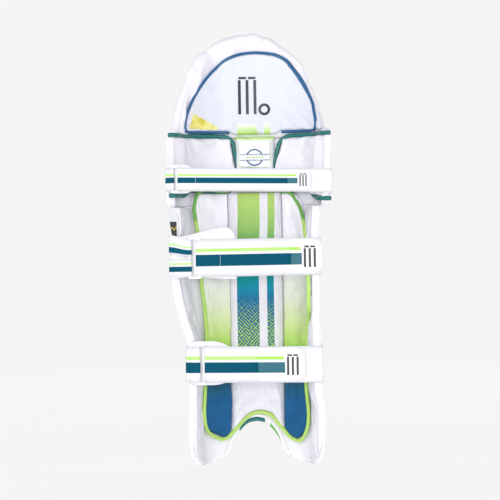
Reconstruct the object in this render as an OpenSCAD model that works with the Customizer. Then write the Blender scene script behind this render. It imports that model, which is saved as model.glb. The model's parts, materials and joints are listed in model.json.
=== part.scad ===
// Cricket leg pad for an adult batter, standing on the lower ends of its wings.
// The leg side faces -Y, where three straps close it; the padded face is towards +Y.
// Origin: middle of the bounding box, on the surface that the pad stands on.

/* [Overall] */
// Overall height
pad_h = 735; // [700:5:770]
// Width across the knee, from rim to rim
knee_w = 280; // [264:2:296]
// Depth of the shell, from the wings' rear rims to the face
shell_d = 145; // [140:1:155]

/* [Shell] */
// Radius of the face, seen from above
face_r = 130; // [125:1:135]
// Half of the angle that the face spans
face_a = 38; // [36:1:39]
// Thickness of the face's cover and cane channels, at the middle
face_t = 16; // [15:0.5:17]
// Thickness from the face's surface to the back of its foam
backing_t = 25; // [23:0.5:26]
// Thickness from the face's surface to the lining's inner side
lining_t = 27; // [26.5:0.5:28]
// Thickness of a wing
wing_t = 12.3; // [11:0.1:13]
// Thickness of an outer cover
cover_t = 2.5; // [1.5:0.5:3]
// Clearance between neighbouring layers
gap = 0.3; // [0.2:0.1:0.5]

/* [Canes] */
// Number of canes in the face
canes = 7; // [5:2:7]
// Angle from cane to cane
cane_step = 9; // [8:0.5:9]
// Diameter of a cane
cane_d = 10; // [8:0.5:10]
// How far a cane channel stands proud of the face
rib_h = 3; // [2:0.5:4]

/* [Knee rolls] */
// Number of rolls across the knee
rolls = 3; // [3:1:3]
// Height of one roll
roll_h = 37; // [34:0.5:37.5]
// How far a roll stands proud of the face
roll_d = 17; // [12:0.5:18]

/* [Bolsters] */
// Thickness of the shin bolsters' side panels
bolster_t = 17; // [12:0.5:20]
// Thickness of the shin bolster's middle band
band_t = 23; // [18:0.5:26]
// Thickness of the knee bolsters
knee_t = 19; // [14:0.5:22]
// Thickness of the top hat's inner pad
hat_pad_t = 14; // [10:0.5:18]
// Diameter of the piping
piping_d = 5; // [4:0.5:6]

/* [Straps] */
// Heights of the three straps' webbing, from the top one down
strap_h = [37, 61, 59];
// Heights of the straps' middles above the ground
strap_z = [486, 353.5, 175];
// Thickness of the webbing
web_t = 1.6; // [1.2:0.1:1.8]
// Radius of a ring's bars
bar_r = 2; // [1.5:0.1:2]
// Thickness of the padded tongue behind each ring
tongue_t = 5; // [3:0.5:5]
// Thickness of a moulded tab
tab_t = 2.4; // [2:0.1:2.6]
// Thickness of the hook patch under a tab
hook_t = 1.2; // [0.8:0.1:1.4]
// Positions of each ring's left bar, from the pad's middle
ring_x = [-136.5, -109, -97.4];
// Distance from each ring's left bar to the strap's bar
bar_gap = [9.5, 10.5, 11];
// Width of the strap's bar, beyond a plain round one
bar_w = [0, 8, 0];
// Where each tongue ends, from the pad's middle
tongue_x = [-99, -52, -46];
// Where each tab begins and ends, from the pad's middle
tab_x = [[57, 96], [61, 114], [3, 82]];

/* [Hidden] */
ref_h = 735;
ref_w = 280;
kz = pad_h / ref_h;
kx = knee_w / ref_w;
knee_z = 439 * kz;
hat_z = 557 * kz;
bolster_top = 464 * kz;
face_v = 0.4;
stand = gap + 0.1;
ring_off = stand + tongue_t + stand + web_t + gap + bar_r;
strap_stand = ring_off + bar_r + gap + web_t;
face_y = (shell_d + strap_stand + roll_d + gap) / 2 - roll_d - gap;
rear_y = face_y - shell_d;
pad_x = 6;
pipe_r = piping_d / 2;
// Pads are coarser than the lining that they lie on, so they stand a little clear of it
pad_gap = 1.4;

// Half width of the shell on each side, as [height, half width]
left_w = [[0, 100], [8, 107], [20, 112], [34, 114], [60, 115], [136, 113], [215, 116], [250, 127], [315, 139], [350, 141],
    [385, 139], [400, 136], [435, 137], [439, 145], [735, 145]];
right_w = [[0, 103], [8, 110], [20, 114], [34, 116], [90, 117], [136, 111], [215, 110], [393, 109], [434, 112], [439, 127],
    [505, 131], [560, 134], [735, 134]];
// Lower edge of the shell, as [place along the section, height]
hem = [[0, 70], [0.08, 67], [0.145, 58.5], [0.21, 48], [0.263, 39], [0.326, 28], [0.385, 15.5],
       [0.44, 6], [0.5, 1], [0.53, 0], [0.86, 0], [0.93, 7], [0.97, 17], [1, 38]];
// Lower edge of the shin bolsters
bolster_hem = [[0, 88], [0.09, 82], [0.17, 71], [0.24, 58], [0.32, 45], [0.4, 39], [0.5, 39],
    [0.58, 44], [0.645, 58]];
// Upper edge of the top hat and of its inner pad, on each side
left_hat = [[0, 735], [0.18, 729], [0.29, 721], [0.36, 712], [0.43, 702], [0.47, 694], [0.54, 672],
    [0.59, 646], [0.66, 624], [0.72, 597], [0.77, 575], [0.84, 562]];
right_hat = [[0, 735], [0.15, 726], [0.21, 719], [0.28, 710], [0.34, 698], [0.44, 681], [0.47, 661],
    [0.51, 646], [0.58, 624], [0.63, 603], [0.68, 585], [0.71, 572], [0.84, 562]];
left_pad = [[0, 701], [0.13, 701], [0.23, 696], [0.31, 688], [0.4, 672], [0.48, 650], [0.53, 628],
    [0.58, 606], [0.62, 578]];
right_pad = [[0, 701], [0.15, 700], [0.26, 695], [0.34, 687], [0.4, 674], [0.48, 652], [0.56, 628],
    [0.62, 606], [0.67, 578]];

function mix(a, b, f) = a + (b - a) * f;
function ease(x, lo, hi) = let (f = min(1, max(0, (x - lo) / (hi - lo)))) f * f * (3 - 2 * f);
// A pad's rise from its sewn edge: 0 at both ends, 1 over the middle
function crown(f) = sqrt(sqrt(max(0, 1 - pow(2 * f - 1, 4))));

// Half width of the shell on a side (-1 left, 1 right) at a height
function half_w(side, z) = kx * lookup(z / kz, side < 0 ? left_w : right_w);

// Point of the shell's section, seen from above: v runs from 0 at the front to 1 at the rear rim,
// and t is the depth below the outer surface
function section(side, v, t, half) = v <= face_v
    ? let (a = face_a * v / face_v)
        [side * (face_r - t) * sin(a), face_y - face_r + (face_r - t) * cos(a)]
    : let (
        f = (v - face_v) / (1 - face_v),
        p0 = [(face_r - t) * sin(face_a), face_y - face_r + (face_r - t) * cos(face_a)],
        p3 = [half - t, rear_y],
        p1 = p0 + 0.8 * (p3.x - p0.x) * [1, -tan(face_a)],
        p2 = p3 + [0, 0.42 * shell_d],
        g = 1 - f,
        p = g * g * g * p0 + 3 * g * g * f * p1 + 3 * g * f * f * p2 + f * f * f * p3
    ) [side * p.x, p.y];

// Point of the shell at the signed place u along the section
function shell(u, t, z) = let (
        side = u < 0 ? -1 : 1,
        p = section(side, abs(u), t, half_w(side, z))
    ) [p.x + pad_x, p.y, z];

// Depth of each layer of the face; all thin down towards the wings
function thin(v) = ease(v, 0.2, face_v);
face_in = function (v) mix(face_t, 8, thin(v));
backing_in = function (v) mix(backing_t, wing_t - 1.9, thin(v));
lining_in = function (v) mix(lining_t, wing_t, thin(v));
// The rear rim is rounded off
function rim_cut(v) = 3 * ease(v, 0.95, 1);

function hem_z(u) = kz * lookup(abs(u), hem);
bolster_z = function (u) kz * lookup(abs(u), bolster_hem);
function hat_top(u) = kz * lookup(abs(u), u < 0 ? left_hat : right_hat);
pad_top = function (u) kz * lookup(abs(u), u < 0 ? left_pad : right_pad);

// A closed slab between an outer and an inner grid of points, each a function of two fractions
module slab(nu, nz, outer, inner) {
    row = nz + 1;
    side = (nu + 1) * row;
    points = [
        for (skin = [outer, inner], i = [0:nu], j = [0:nz]) skin(i / nu, j / nz)
    ];
    function at(skin, i, j) = skin * side + i * row + j;
    function quad(a, b, c, d) = [[a, b, c], [a, c, d]];
    faces = concat(
        [for (i = [0:nu - 1], j = [0:nz - 1])
            each quad(at(0, i, j), at(0, i, j + 1), at(0, i + 1, j + 1), at(0, i + 1, j))],
        [for (i = [0:nu - 1], j = [0:nz - 1])
            each quad(at(1, i, j), at(1, i + 1, j), at(1, i + 1, j + 1), at(1, i, j + 1))],
        [for (i = [0:nu - 1])
            each quad(at(0, i, 0), at(0, i + 1, 0), at(1, i + 1, 0), at(1, i, 0))],
        [for (i = [0:nu - 1])
            each quad(at(0, i, nz), at(1, i, nz), at(1, i + 1, nz), at(0, i + 1, nz))],
        [for (j = [0:nz - 1])
            each quad(at(0, 0, j), at(1, 0, j), at(1, 0, j + 1), at(0, 0, j + 1))],
        [for (j = [0:nz - 1])
            each quad(at(0, nu, j), at(0, nu, j + 1), at(1, nu, j + 1), at(1, nu, j))]
    );
    polyhedron(points, faces, convexity = 6);
}

// A layer of the shell between two places along the section
module layer(u0, u1, low, high, out_t, in_t, nu = 8, nz = 10) {
    place = function (t) function (i, j) let (u = mix(u0, u1, i)) shell(u, t(u), mix(low(u), high(u), j));
    slab(nu, nz, place(out_t), place(in_t));
}

// A crowned pad sewn to the shell's lining
module pad(u0, u1, low, high, base, thick, nu = 8, nz = 10) {
    outer = function (i, j) let (u = mix(u0, u1, i)) shell(u, base(u), mix(low(u), high(u), j));
    inner = function (i, j) let (u = mix(u0, u1, i))
        shell(u, base(u) + thick * (0.3 + 0.7 * crown(i) * crown(j)), mix(low(u), high(u), j));
    slab(nu, nz, outer, inner);
}

// A round tube along a path on the shell
module tube(path, r, sides = 8) {
    last = len(path) - 1;
    function unit(v) = v / norm(v);
    function ring(i) = let (
            t = unit(path[min(last, i + 1)] - path[max(0, i - 1)]),
            out = unit([path[i].x - pad_x, path[i].y - rear_y, 0]),
            b = unit(cross(t, out)),
            n = cross(b, t)
        ) [for (k = [0:sides - 1]) path[i] + r * (cos(360 * k / sides) * n + sin(360 * k / sides) * b)];
    points = [for (i = [0:last]) each ring(i)];
    walls = [for (i = [0:last - 1], k = [0:sides - 1])
        let (a = i * sides + k, b = i * sides + (k + 1) % sides)
            each [[a, b, b + sides], [a, b + sides, a + sides]]];
    start = [[for (k = [0:sides - 1]) sides - 1 - k]];
    finish = [[for (k = [0:sides - 1]) last * sides + k]];
    polyhedron(points, concat(walls, start, finish), convexity = 8);
}

// Outline of the face seen from above, between two depths
module face_section(out_t, in_t, steps = 32) {
    edge = face_v - 0.004;
    function run(t) = [for (i = [0:steps])
        let (u = mix(-edge, edge, i / steps), p = section(u < 0 ? -1 : 1, abs(u), t(abs(u)), 0))
            [p.x + pad_x, p.y]];
    inner = run(in_t);
    polygon(concat(run(out_t), [for (i = [steps:-1:0]) inner[i]]));
}

// Front outline of the face, which ends in an arch over the instep
module face_front(low, top) {
    steps = 40;
    half = face_r * sin(face_a) + 8;
    function u_of(x) = asin(max(-1, min(1, x / face_r))) / face_a * face_v;
    edge = [for (i = [0:steps]) let (x = mix(-half, half, i / steps)) [x + pad_x, hem_z(u_of(x)) + low]];
    translate([0, face_y + 20, 0])
        rotate([90, 0, 0])
            linear_extrude(80)
                polygon(concat([[pad_x - half, top]], edge, [[pad_x + half, top]]));
}

// Centre of cane i, seen from above, at a given depth
function cane_a(i) = (i - (canes - 1) / 2) * cane_step;
cane_depth = 4.5;
function cane_at(i) = [
    pad_x + (face_r - cane_depth) * sin(cane_a(i)),
    face_y - face_r + (face_r - cane_depth) * cos(cane_a(i))];
function cane_foot(i) = hem_z(abs(cane_a(i)) / face_a * face_v) + 14;

// Shin face: the cover with its cane channels
module front_face() color("whitesmoke")
    difference() {
        intersection() {
            union() {
                linear_extrude(knee_z - 1) face_section(function (v) 0, face_in);
                for (i = [0:canes - 1])
                    translate(cane_at(i)) cylinder(h = knee_z - 1, r = cane_depth + rib_h, $fn = 48);
            }
            face_front(0, knee_z);
        }
        for (i = [0:canes - 1])
            translate([cane_at(i).x, cane_at(i).y, cane_foot(i)])
                cylinder(h = knee_z, r = cane_d / 2 + 0.2, $fn = 32);
    }

module cane_rods() color("burlywood")
    for (i = [0:canes - 1])
        translate([cane_at(i).x, cane_at(i).y, cane_foot(i) + gap])
            cylinder(h = knee_z - 1 - cane_foot(i) - gap, r = cane_d / 2, $fn = 32);

module face_backing() color("lightyellow")
    intersection() {
        linear_extrude(knee_z - 1)
            face_section(function (v) face_in(v) + gap, backing_in);
        face_front(3, knee_z);
    }

module shin_lining() color("white")
    intersection() {
        linear_extrude(knee_z - 1)
            face_section(function (v) backing_in(v) + gap, lining_in);
        face_front(1, knee_z);
    }

// Shin wings: an outer cover, its foam and the inner lining
module wing(side, out_t, in_t) {
    start = face_v + 0.004;
    u0 = side < 0 ? -1 : start;
    u1 = side < 0 ? -start : 1;
    layer(u0, u1, function (u) hem_z(u), function (u) knee_z - 1, out_t, in_t, 8, 12);
}
module wing_cover(side) color("white")
    wing(side, function (u) rim_cut(abs(u)), function (u) cover_t + rim_cut(abs(u)));
module wing_foam(side) color("lightyellow")
    wing(side, function (u) cover_t + gap + rim_cut(abs(u)), function (u) wing_t - 2.3);
module wing_lining(side) color("whitesmoke")
    wing(side, function (u) wing_t - 2, function (u) wing_t);

// Shin bolsters: two side panels and a raised middle band, inside the lining
bolster_v = 0.64;
band_v = [0.257, 0.283];
pad_base = function (u) lining_in(abs(u)) + pad_gap;
module bolster(u0, u1, thick) color("powderblue")
    pad(u0, u1, bolster_z, function (u) bolster_top, pad_base, thick, 8, 12);
module shin_bolster_left() bolster(-bolster_v, -band_v[0] - 0.01, bolster_t);
module shin_bolster_right() bolster(band_v[1] + 0.01, bolster_v, bolster_t);
module shin_bolster_centre() bolster(-band_v[0], band_v[1], band_t);

module shin_bolster_piping() color("yellowgreen") {
    v = bolster_v + 0.026;
    t = wing_t + pad_gap + pipe_r;
    drop = pipe_r + 2;
    head = bolster_top - 4;
    down = [for (i = [0:11]) shell(-v, t, mix(head, bolster_z(v) + 4, i / 11))];
    across = [for (i = [0:34]) let (u = mix(-v, v, (i + 0.5) / 35))
        shell(u, pad_base(u) + pipe_r, bolster_z(u) - drop)];
    up = [for (i = [0:11]) shell(v, t, mix(bolster_z(v) + 4, head, i / 11))];
    tube(concat(down, across, up), pipe_r, 6);
}

// Knee: the stiff backing behind the rolls, and the wings beside it
module knee_backing() color("whitesmoke")
    translate([0, 0, knee_z])
        linear_extrude(hat_z - knee_z)
            face_section(function (v) 0, lining_in);

module knee_wing(side) color("white") {
    start = face_v + 0.004;
    u0 = side < 0 ? -1 : start;
    u1 = side < 0 ? -start : 1;
    layer(u0, u1, function (u) knee_z, function (u) hat_z,
        function (u) rim_cut(abs(u)), function (u) wing_t, 8, 5);
}

// Knee rolls: three D-shaped rolls that wrap round the front
roll_v = 0.72;
module knee_roll(i) {
    pitch = (hat_z - knee_z) / rolls;
    z = knee_z + pitch * (i + 0.5);
    turns = 24;
    sides = 10;
    function ring(f) = let (u = mix(-roll_v, roll_v, f), full = 0.45 + 0.55 * sqrt(crown(f)))
        [for (k = [0:sides - 1]) let (a = -90 + 180 * k / (sides - 1))
            shell(u, -gap - full * roll_d * cos(a), z + full * roll_h / 2 * sin(a))];
    points = [for (s = [0:turns]) each ring(s / turns)];
    walls = [for (s = [0:turns - 1], k = [0:sides - 1])
        let (a = s * sides + k, b = s * sides + (k + 1) % sides)
            each [[a, b + sides, b], [a, a + sides, b + sides]]];
    ends = [[for (k = [0:sides - 1]) k], [for (k = [0:sides - 1]) turns * sides + sides - 1 - k]];
    color("white") polyhedron(points, concat(walls, ends), convexity = 6);
}

// Knee bolsters and the small pad between them, on the leg side
knee_u = [0.25, 0.95];
knee_low = 457 * kz;
knee_high = hat_z - 5.5;
// Above the shin bolster the panel starts higher, so it rests on the lining alone
function knee_foot(v) = mix(bolster_top + 6, knee_low, ease(v, 0.66, 0.78));
module knee_bolster(side) color("white") {
    u0 = side < 0 ? -knee_u[1] : knee_u[0];
    u1 = side < 0 ? -knee_u[0] : knee_u[1];
    pad(u0, u1, function (u) knee_foot(abs(u)), function (u) knee_high, pad_base, knee_t, 9, 7);
}
module knee_piping(side) color("teal") {
    r = pipe_r - 0.5;
    edge = knee_u[0] - 0.03;
    head = [for (i = [0:14]) let (v = mix(knee_u[1], edge + 0.03, i / 14))
        shell(side * v, pad_base(v) + r, knee_high + r + 0.5)];
    inner = [for (i = [0:5]) shell(side * edge, pad_base(edge) + r, mix(knee_high - 1, knee_foot(edge) + 3, i / 5))];
    foot = [for (i = [0:15]) let (v = mix(edge + 0.02, knee_u[1], i / 15))
        shell(side * v, pad_base(v) + r, knee_foot(v) - r - 1.5)];
    tube(concat(head, inner, foot), r, 6);
}
module knee_centre_pad() color("white")
    pad(-0.2, 0.2, function (u) 505 * kz, function (u) knee_high, pad_base, 20, 6, 5);

module side_label() color("silver")
    translate([pad_x - half_w(-1, 410 * kz) - 6.5, rear_y - 2, 391 * kz])
        cube([13, 1.2, 43 * kz]);

// Top hat: cover, foam and lining above the knee, then the inner pad and its piping
hat_u = [-0.83, 0.83];
module hat_layer(out_t, in_t, inset) {
    low = hat_z + 0.5 + inset;
    layer(hat_u[0], hat_u[1], function (u) low, function (u) max(low + 1.5, hat_top(u) - inset),
        out_t, in_t, 24, 6);
}
module top_hat_cover() color("white")
    hat_layer(function (u) 0, function (u) cover_t, 0);
module top_hat_foam() color("lightyellow")
    hat_layer(function (u) cover_t + gap, function (u) lining_in(abs(u)) - 2.3, 2);
module top_hat_lining() color("whitesmoke")
    hat_layer(function (u) lining_in(abs(u)) - 2, function (u) lining_in(abs(u)), 0);
module top_hat_pad() color("white")
    pad(-0.6, 0.65, function (u) hat_z + 8, pad_top, pad_base, hat_pad_t, 18, 7);
module top_hat_piping() color("steelblue") {
    r = pipe_r - 0.5;
    path = [for (i = [0:40]) let (u = mix(-0.605, 0.655, i / 40))
        shell(u, pad_base(u) + r, pad_top(0.96 * u) + r + 1.5)];
    tube(path, r, 6);
}

// Straps, seen from above. i is 0 for the top strap, 1 for the middle one and 2 for the low one
function strap_low(i) = strap_z[i] * kz - strap_h[i] / 2;
function wide(side, i) = max([for (z = [strap_low(i):2:strap_low(i) + strap_h[i]]) half_w(side, z)]);
function left_bar(i) = [pad_x + kx * ring_x[i], rear_y - ring_off];
function right_bar(i) = left_bar(i) + [bar_gap[i], 0];
function web_off() = bar_r + gap + web_t / 2;
function low_y() = rear_y - ring_off + web_off();
function side_x(side, i) = pad_x + side * (wide(side, i) + 3 * stand + web_t / 2);
function bend(c, r, a0, a1) = [for (k = [0:6]) c + r * [cos(mix(a0, a1, k / 6)), sin(mix(a0, a1, k / 6))]];

// A band of even thickness along a path, seen from above
module band(path, t) {
    last = len(path) - 1;
    function unit(v) = v / norm(v);
    function side_of(a, b) = let (d = unit(b - a)) [-d.y, d.x];
    function mitre(i) = i == 0 ? side_of(path[0], path[1])
        : i == last ? side_of(path[last - 1], path[last])
        : let (a = side_of(path[i - 1], path[i]), b = side_of(path[i], path[i + 1]), m = unit(a + b))
            m / (m * a);
    polygon(concat(
        [for (i = [0:last]) path[i] + mitre(i) * t / 2],
        [for (i = [last:-1:0]) path[i] - mitre(i) * t / 2]));
}

// Straight stretch of the lower run between the right rim and the tongue
function run_start(i) = [side_x(1, i) - 5, rear_y - stand - web_t / 2];
function run_end(i) = [pad_x + kx * tongue_x[i] + 4, low_y()];
function lower_y(i, x) = let (a = run_start(i), b = run_end(i)) mix(b.y, a.y, (x - b.x) / (a.x - b.x));
// Straight stretch of the upper run, over the lower one
function top_y() = rear_y - ring_off - web_off();
function tab_end(i) = pad_x + kx * tab_x[i][1];
function tab_start(i) = pad_x + kx * tab_x[i][0];
function upper_end_y(i) = lower_y(i, tab_end(i)) - web_t - gap - hook_t;
function upper_y(i, x) = mix(top_y(), upper_end_y(i), (x - run_end(i).x) / (tab_end(i) - run_end(i).x));
function upper_a(i) = atan((upper_end_y(i) - top_y()) / (tab_end(i) - run_end(i).x));

module anchor(i) color("lavender") {
    x = side_x(-1, i);
    r = 9;
    bands = i == 1 ? [[strap_low(i), 28], [strap_low(i) + 34, 28]] : [[strap_low(i), strap_h[i]]];
    path = concat([[x, rear_y + 42]], bend([x + r, low_y() + r], r, 180, 270), [[left_bar(i).x - 0.5, low_y() + 0.1]]);
    for (b = bands)
        translate([0, 0, b[0]])
            difference() {
                union() {
                    linear_extrude(b[1]) band(path, web_t);
                    translate(left_bar(i)) cylinder(h = b[1], r = bar_r + gap + web_t, $fn = 48);
                }
                translate([left_bar(i).x, left_bar(i).y, -1])
                    cylinder(h = b[1] + 2, r = bar_r + gap, $fn = 48);
            }
}

module tongue(i) color("white")
    translate([side_x(-1, i) + 10, rear_y - stand - tongue_t, strap_low(i) - 5])
        cube([run_end(i).x - 4 - side_x(-1, i) - 10, tongue_t, strap_h[i] + 10]);

module strap_ring(i) color("gainsboro") {
    a = left_bar(i);
    b = right_bar(i);
    low = strap_low(i) - 4;
    high = strap_low(i) + strap_h[i] + 4;
    rail = 3;
    translate([0, 0, low])
        linear_extrude(high - low) {
            translate(a) circle(bar_r, $fn = 32);
            translate(b) circle(bar_r, $fn = 32);
            if (bar_w[i] > 0) {
                translate(b + [bar_w[i], 0]) circle(bar_r, $fn = 32);
                translate(b - [0, bar_r]) square([bar_w[i], 2 * bar_r]);
            }
        }
    for (z = [low, high - rail])
        translate([a.x, a.y - bar_r, z])
            cube([b.x + bar_w[i] - a.x, 2 * bar_r, rail]);
}

module lower_run(i) color("ghostwhite") {
    x = side_x(1, i);
    start = run_start(i);
    path = concat([[x, rear_y + 66]], bend(start + [0, 5], 5, 0, -90),
        [run_end(i), [right_bar(i).x + gap, low_y()]]);
    translate([0, 0, strap_low(i)])
        linear_extrude(strap_h[i])
            band(path, web_t);
}

module turn(i) color("lavender") {
    c = right_bar(i);
    r = bar_r + gap;
    translate([c.x, c.y, strap_low(i)])
        linear_extrude(strap_h[i])
            difference() {
                circle(r + web_t, $fn = 48);
                circle(r, $fn = 48);
                translate([0, -10]) square(20);
            }
}

module upper_run(i) color("lavender") {
    path = [[right_bar(i).x + gap, top_y()], [run_end(i).x, top_y()],
        [tab_start(i) + 12, upper_y(i, tab_start(i) + 12)]];
    translate([0, 0, strap_low(i)])
        linear_extrude(strap_h[i])
            band(path, web_t);
}

// A flat plate that lies along the upper run, from x0 to x1, between two depths from its middle
module along(i, x0, x1, near, t) {
    a = upper_a(i);
    translate([x0, upper_y(i, x0), strap_z[i] * kz])
        rotate([0, 0, a])
            translate([0, near, 0])
                rotate([90, 0, 0])
                    linear_extrude(t)
                        children();
}
module tab(i) color("white") {
    h = strap_h[i] - 2;
    r = h * 0.28;
    long = (tab_end(i) - tab_start(i)) / cos(upper_a(i));
    along(i, tab_start(i), tab_end(i), -web_t / 2, tab_t) {
        translate([0, -h / 2]) square([long - r, h]);
        translate([0, -h / 2 + r]) square([long, h - 2 * r]);
        for (s = [-1, 1])
            translate([long - r, s * (h / 2 - r)]) circle(r, $fn = 48);
    }
}
module hook_patch(i) color("dimgray") {
    h = strap_h[i] - 10;
    x0 = tab_start(i) + 13;
    along(i, x0, tab_end(i) - 5, web_t / 2 + hook_t, web_t + hook_t)
        translate([0, -h / 2]) square([tab_end(i) - 5 - x0, h]);
}

front_face();
cane_rods();
face_backing();
shin_lining();
wing_cover(-1);  // left_wing_cover
wing_foam(-1);  // left_wing_foam
wing_lining(-1);  // left_wing_lining
wing_cover(1);  // right_wing_cover
wing_foam(1);  // right_wing_foam
wing_lining(1);  // right_wing_lining
shin_bolster_left();
shin_bolster_right();
shin_bolster_centre();
shin_bolster_piping();
knee_backing();
knee_wing(-1);  // left_knee_wing
knee_wing(1);  // right_knee_wing
knee_roll(0);  // knee_roll_lower
knee_roll(1);  // knee_roll_middle
knee_roll(2);  // knee_roll_upper
knee_bolster(-1);  // left_knee_bolster
knee_bolster(1);  // right_knee_bolster
knee_piping(-1);  // left_knee_piping
knee_piping(1);  // right_knee_piping
knee_centre_pad();
side_label();
top_hat_cover();
top_hat_foam();
top_hat_lining();
top_hat_pad();
top_hat_piping();
anchor(0);  // top_anchor
tongue(0);  // top_tongue
strap_ring(0);  // top_ring
lower_run(0);  // top_lower_run
turn(0);  // top_turn
upper_run(0);  // top_upper_run
tab(0);  // top_tab
hook_patch(0);  // top_hook_patch
anchor(1);  // mid_anchor
tongue(1);  // mid_tongue
strap_ring(1);  // mid_ring
lower_run(1);  // mid_lower_run
turn(1);  // mid_turn
upper_run(1);  // mid_upper_run
tab(1);  // mid_tab
hook_patch(1);  // mid_hook_patch
anchor(2);  // low_anchor
tongue(2);  // low_tongue
strap_ring(2);  // low_ring
lower_run(2);  // low_lower_run
turn(2);  // low_turn
upper_run(2);  // low_upper_run
tab(2);  // low_tab
hook_patch(2);  // low_hook_patch
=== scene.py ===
"""Cricket leg pad: the looks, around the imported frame. Metres; the leg side faces -Y."""
import json
import math
from bisect import bisect_right

import bpy
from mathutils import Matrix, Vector, noise
from mathutils.bvhtree import BVHTree


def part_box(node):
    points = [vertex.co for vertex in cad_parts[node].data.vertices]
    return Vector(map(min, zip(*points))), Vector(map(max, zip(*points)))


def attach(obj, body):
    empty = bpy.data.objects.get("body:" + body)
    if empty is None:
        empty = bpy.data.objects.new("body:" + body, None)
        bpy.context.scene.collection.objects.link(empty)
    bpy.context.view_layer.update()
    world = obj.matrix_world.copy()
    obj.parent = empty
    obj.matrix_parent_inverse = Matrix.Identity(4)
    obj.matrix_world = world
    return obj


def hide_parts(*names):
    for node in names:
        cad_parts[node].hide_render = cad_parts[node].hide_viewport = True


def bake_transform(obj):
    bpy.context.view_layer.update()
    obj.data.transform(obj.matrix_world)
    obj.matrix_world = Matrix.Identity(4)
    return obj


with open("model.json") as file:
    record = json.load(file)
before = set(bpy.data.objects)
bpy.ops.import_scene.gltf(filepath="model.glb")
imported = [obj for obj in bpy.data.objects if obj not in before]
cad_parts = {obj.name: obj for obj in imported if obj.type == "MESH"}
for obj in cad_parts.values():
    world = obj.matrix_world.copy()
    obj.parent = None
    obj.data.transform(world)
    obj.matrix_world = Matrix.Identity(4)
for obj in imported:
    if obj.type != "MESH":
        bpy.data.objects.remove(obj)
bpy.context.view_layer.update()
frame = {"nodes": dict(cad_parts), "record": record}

MM = 0.001
LEFT, RIGHT = -1, 1

# ---------------------------------------------------------------- sizes, from the frame
KNEE_LO, KNEE_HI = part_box("knee_backing")
PAD_X = sum(c.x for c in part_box("cane_rods")) / 2
FACE_Y = KNEE_HI.y
REAR_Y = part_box("left_knee_wing")[0].y
DEPTH = FACE_Y - REAR_Y
KNEE_Z = KNEE_LO.z
HAT_Z = KNEE_HI.z
BOLSTER_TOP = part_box("shin_bolster_centre")[1].z
FACE_R = 0.130
FACE_A = math.radians(38)
FACE_V = 0.4
WING_T = 12.3 * MM
LINING_T = 27 * MM
BAR_R = 2 * MM
WEB_T = 1.6 * MM
CLEAR = 0.3 * MM
WEB_OFF = BAR_R + CLEAR + WEB_T / 2
STRAPS = ("top", "mid", "low")
JOINT = {j["name"]: j for j in frame["record"]["behaviour"]["joints"]}


def srgb(code):
    """Linear colour of a hex code."""
    parts = [int(code[i:i + 2], 16) / 255 for i in (0, 2, 4)]
    return tuple(p / 12.92 if p <= 0.04045 else ((p + 0.055) / 1.055) ** 2.4 for p in parts) + (1.0,)


def mix(a, b, f):
    return a + (b - a) * f


def ease(x, lo, hi):
    f = min(1.0, max(0.0, (x - lo) / (hi - lo)))
    return f * f * (3 - 2 * f)


def crown(f):
    return max(0.0, 1 - (2 * f - 1) ** 4) ** 0.25


def curve(points, scale=MM):
    """Smooth function through points of [place, millimetres], with no overshoot."""
    xs = [p[0] for p in points]
    ys = [p[1] * scale for p in points]
    h = [b - a for a, b in zip(xs, xs[1:])]
    d = [(b - a) / w for a, b, w in zip(ys, ys[1:], h)]
    m = [d[0]] + [0 if a * b <= 0 else 2 * a * b / (a + b) for a, b in zip(d, d[1:])] + [d[-1]]

    def at(x):
        if x <= xs[0]:
            return ys[0]
        if x >= xs[-1]:
            return ys[-1]
        i = bisect_right(xs, x) - 1
        t = (x - xs[i]) / h[i]
        return ((1 + 2 * t) * (1 - t) ** 2 * ys[i] + t * (1 - t) ** 2 * h[i] * m[i]
                + t * t * (3 - 2 * t) * ys[i + 1] + t * t * (t - 1) * h[i] * m[i + 1])
    return at


# ---------------------------------------------------------------- the shell, as in the CAD
SHIN_W = {
    LEFT: curve([[0, 100], [8, 107], [20, 112], [34, 114], [60, 115], [136, 113], [215, 116],
                 [250, 127], [315, 139], [350, 141], [385, 139], [400, 136], [439, 137]]),
    RIGHT: curve([[0, 103], [8, 110], [20, 114], [34, 116], [90, 117], [136, 111], [215, 110],
                  [393, 109], [439, 112]]),
}
KNEE_W = {
    LEFT: curve([[439, 145], [735, 145]]),
    RIGHT: curve([[439, 127], [505, 131], [560, 134], [735, 134]]),
}
HEM = curve([[0, 70], [0.08, 67], [0.145, 58.5], [0.2, 47.5], [0.235, 38], [0.262, 27], [0.29, 16],
             [0.335, 7], [0.385, 2], [0.44, 0.3], [0.53, 0], [0.86, 0], [0.93, 7], [0.97, 17], [1, 38]])
# Outline of the shin bolsters and of the top hat's pad, as distances from the pad's middle
BOLSTER_EDGE = {
    LEFT: curve([[40, 86], [62, 87], [95, 86], [127, 84.5], [224, 81], [315, 88], [388, 92.5], [445, 99.5],
                 [464, 101]]),
    RIGHT: curve([[40, 84], [62, 84], [95, 85.5], [116, 82.5], [140, 81], [211, 84.5], [315, 88],
                  [389, 84], [424, 80.5], [464, 74]]),
}
BOLSTER_FOOT = curve([[-97, 70], [-86, 59], [-75, 51], [-61, 44.5], [-52, 46], [-43.5, 54], [-30, 68],
                      [-17, 81], [-5, 88], [5, 90], [16, 88.5], [26, 84], [35, 73], [43.6, 62],
                      [52, 52], [60.6, 44], [73.5, 40.5], [81, 46], [90, 66]])
PAD_ROOF = curve([[-117, 573], [-110.7, 600], [-101.6, 622], [-86, 649], [-63.9, 676], [-42, 694],
                  [-15.9, 703], [5, 705], [34, 702], [55.5, 693], [79, 664], [95, 635],
                  [106, 606], [112.5, 575]])
SEAM_L, SEAM_R = -42 * MM, 46 * MM
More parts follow.
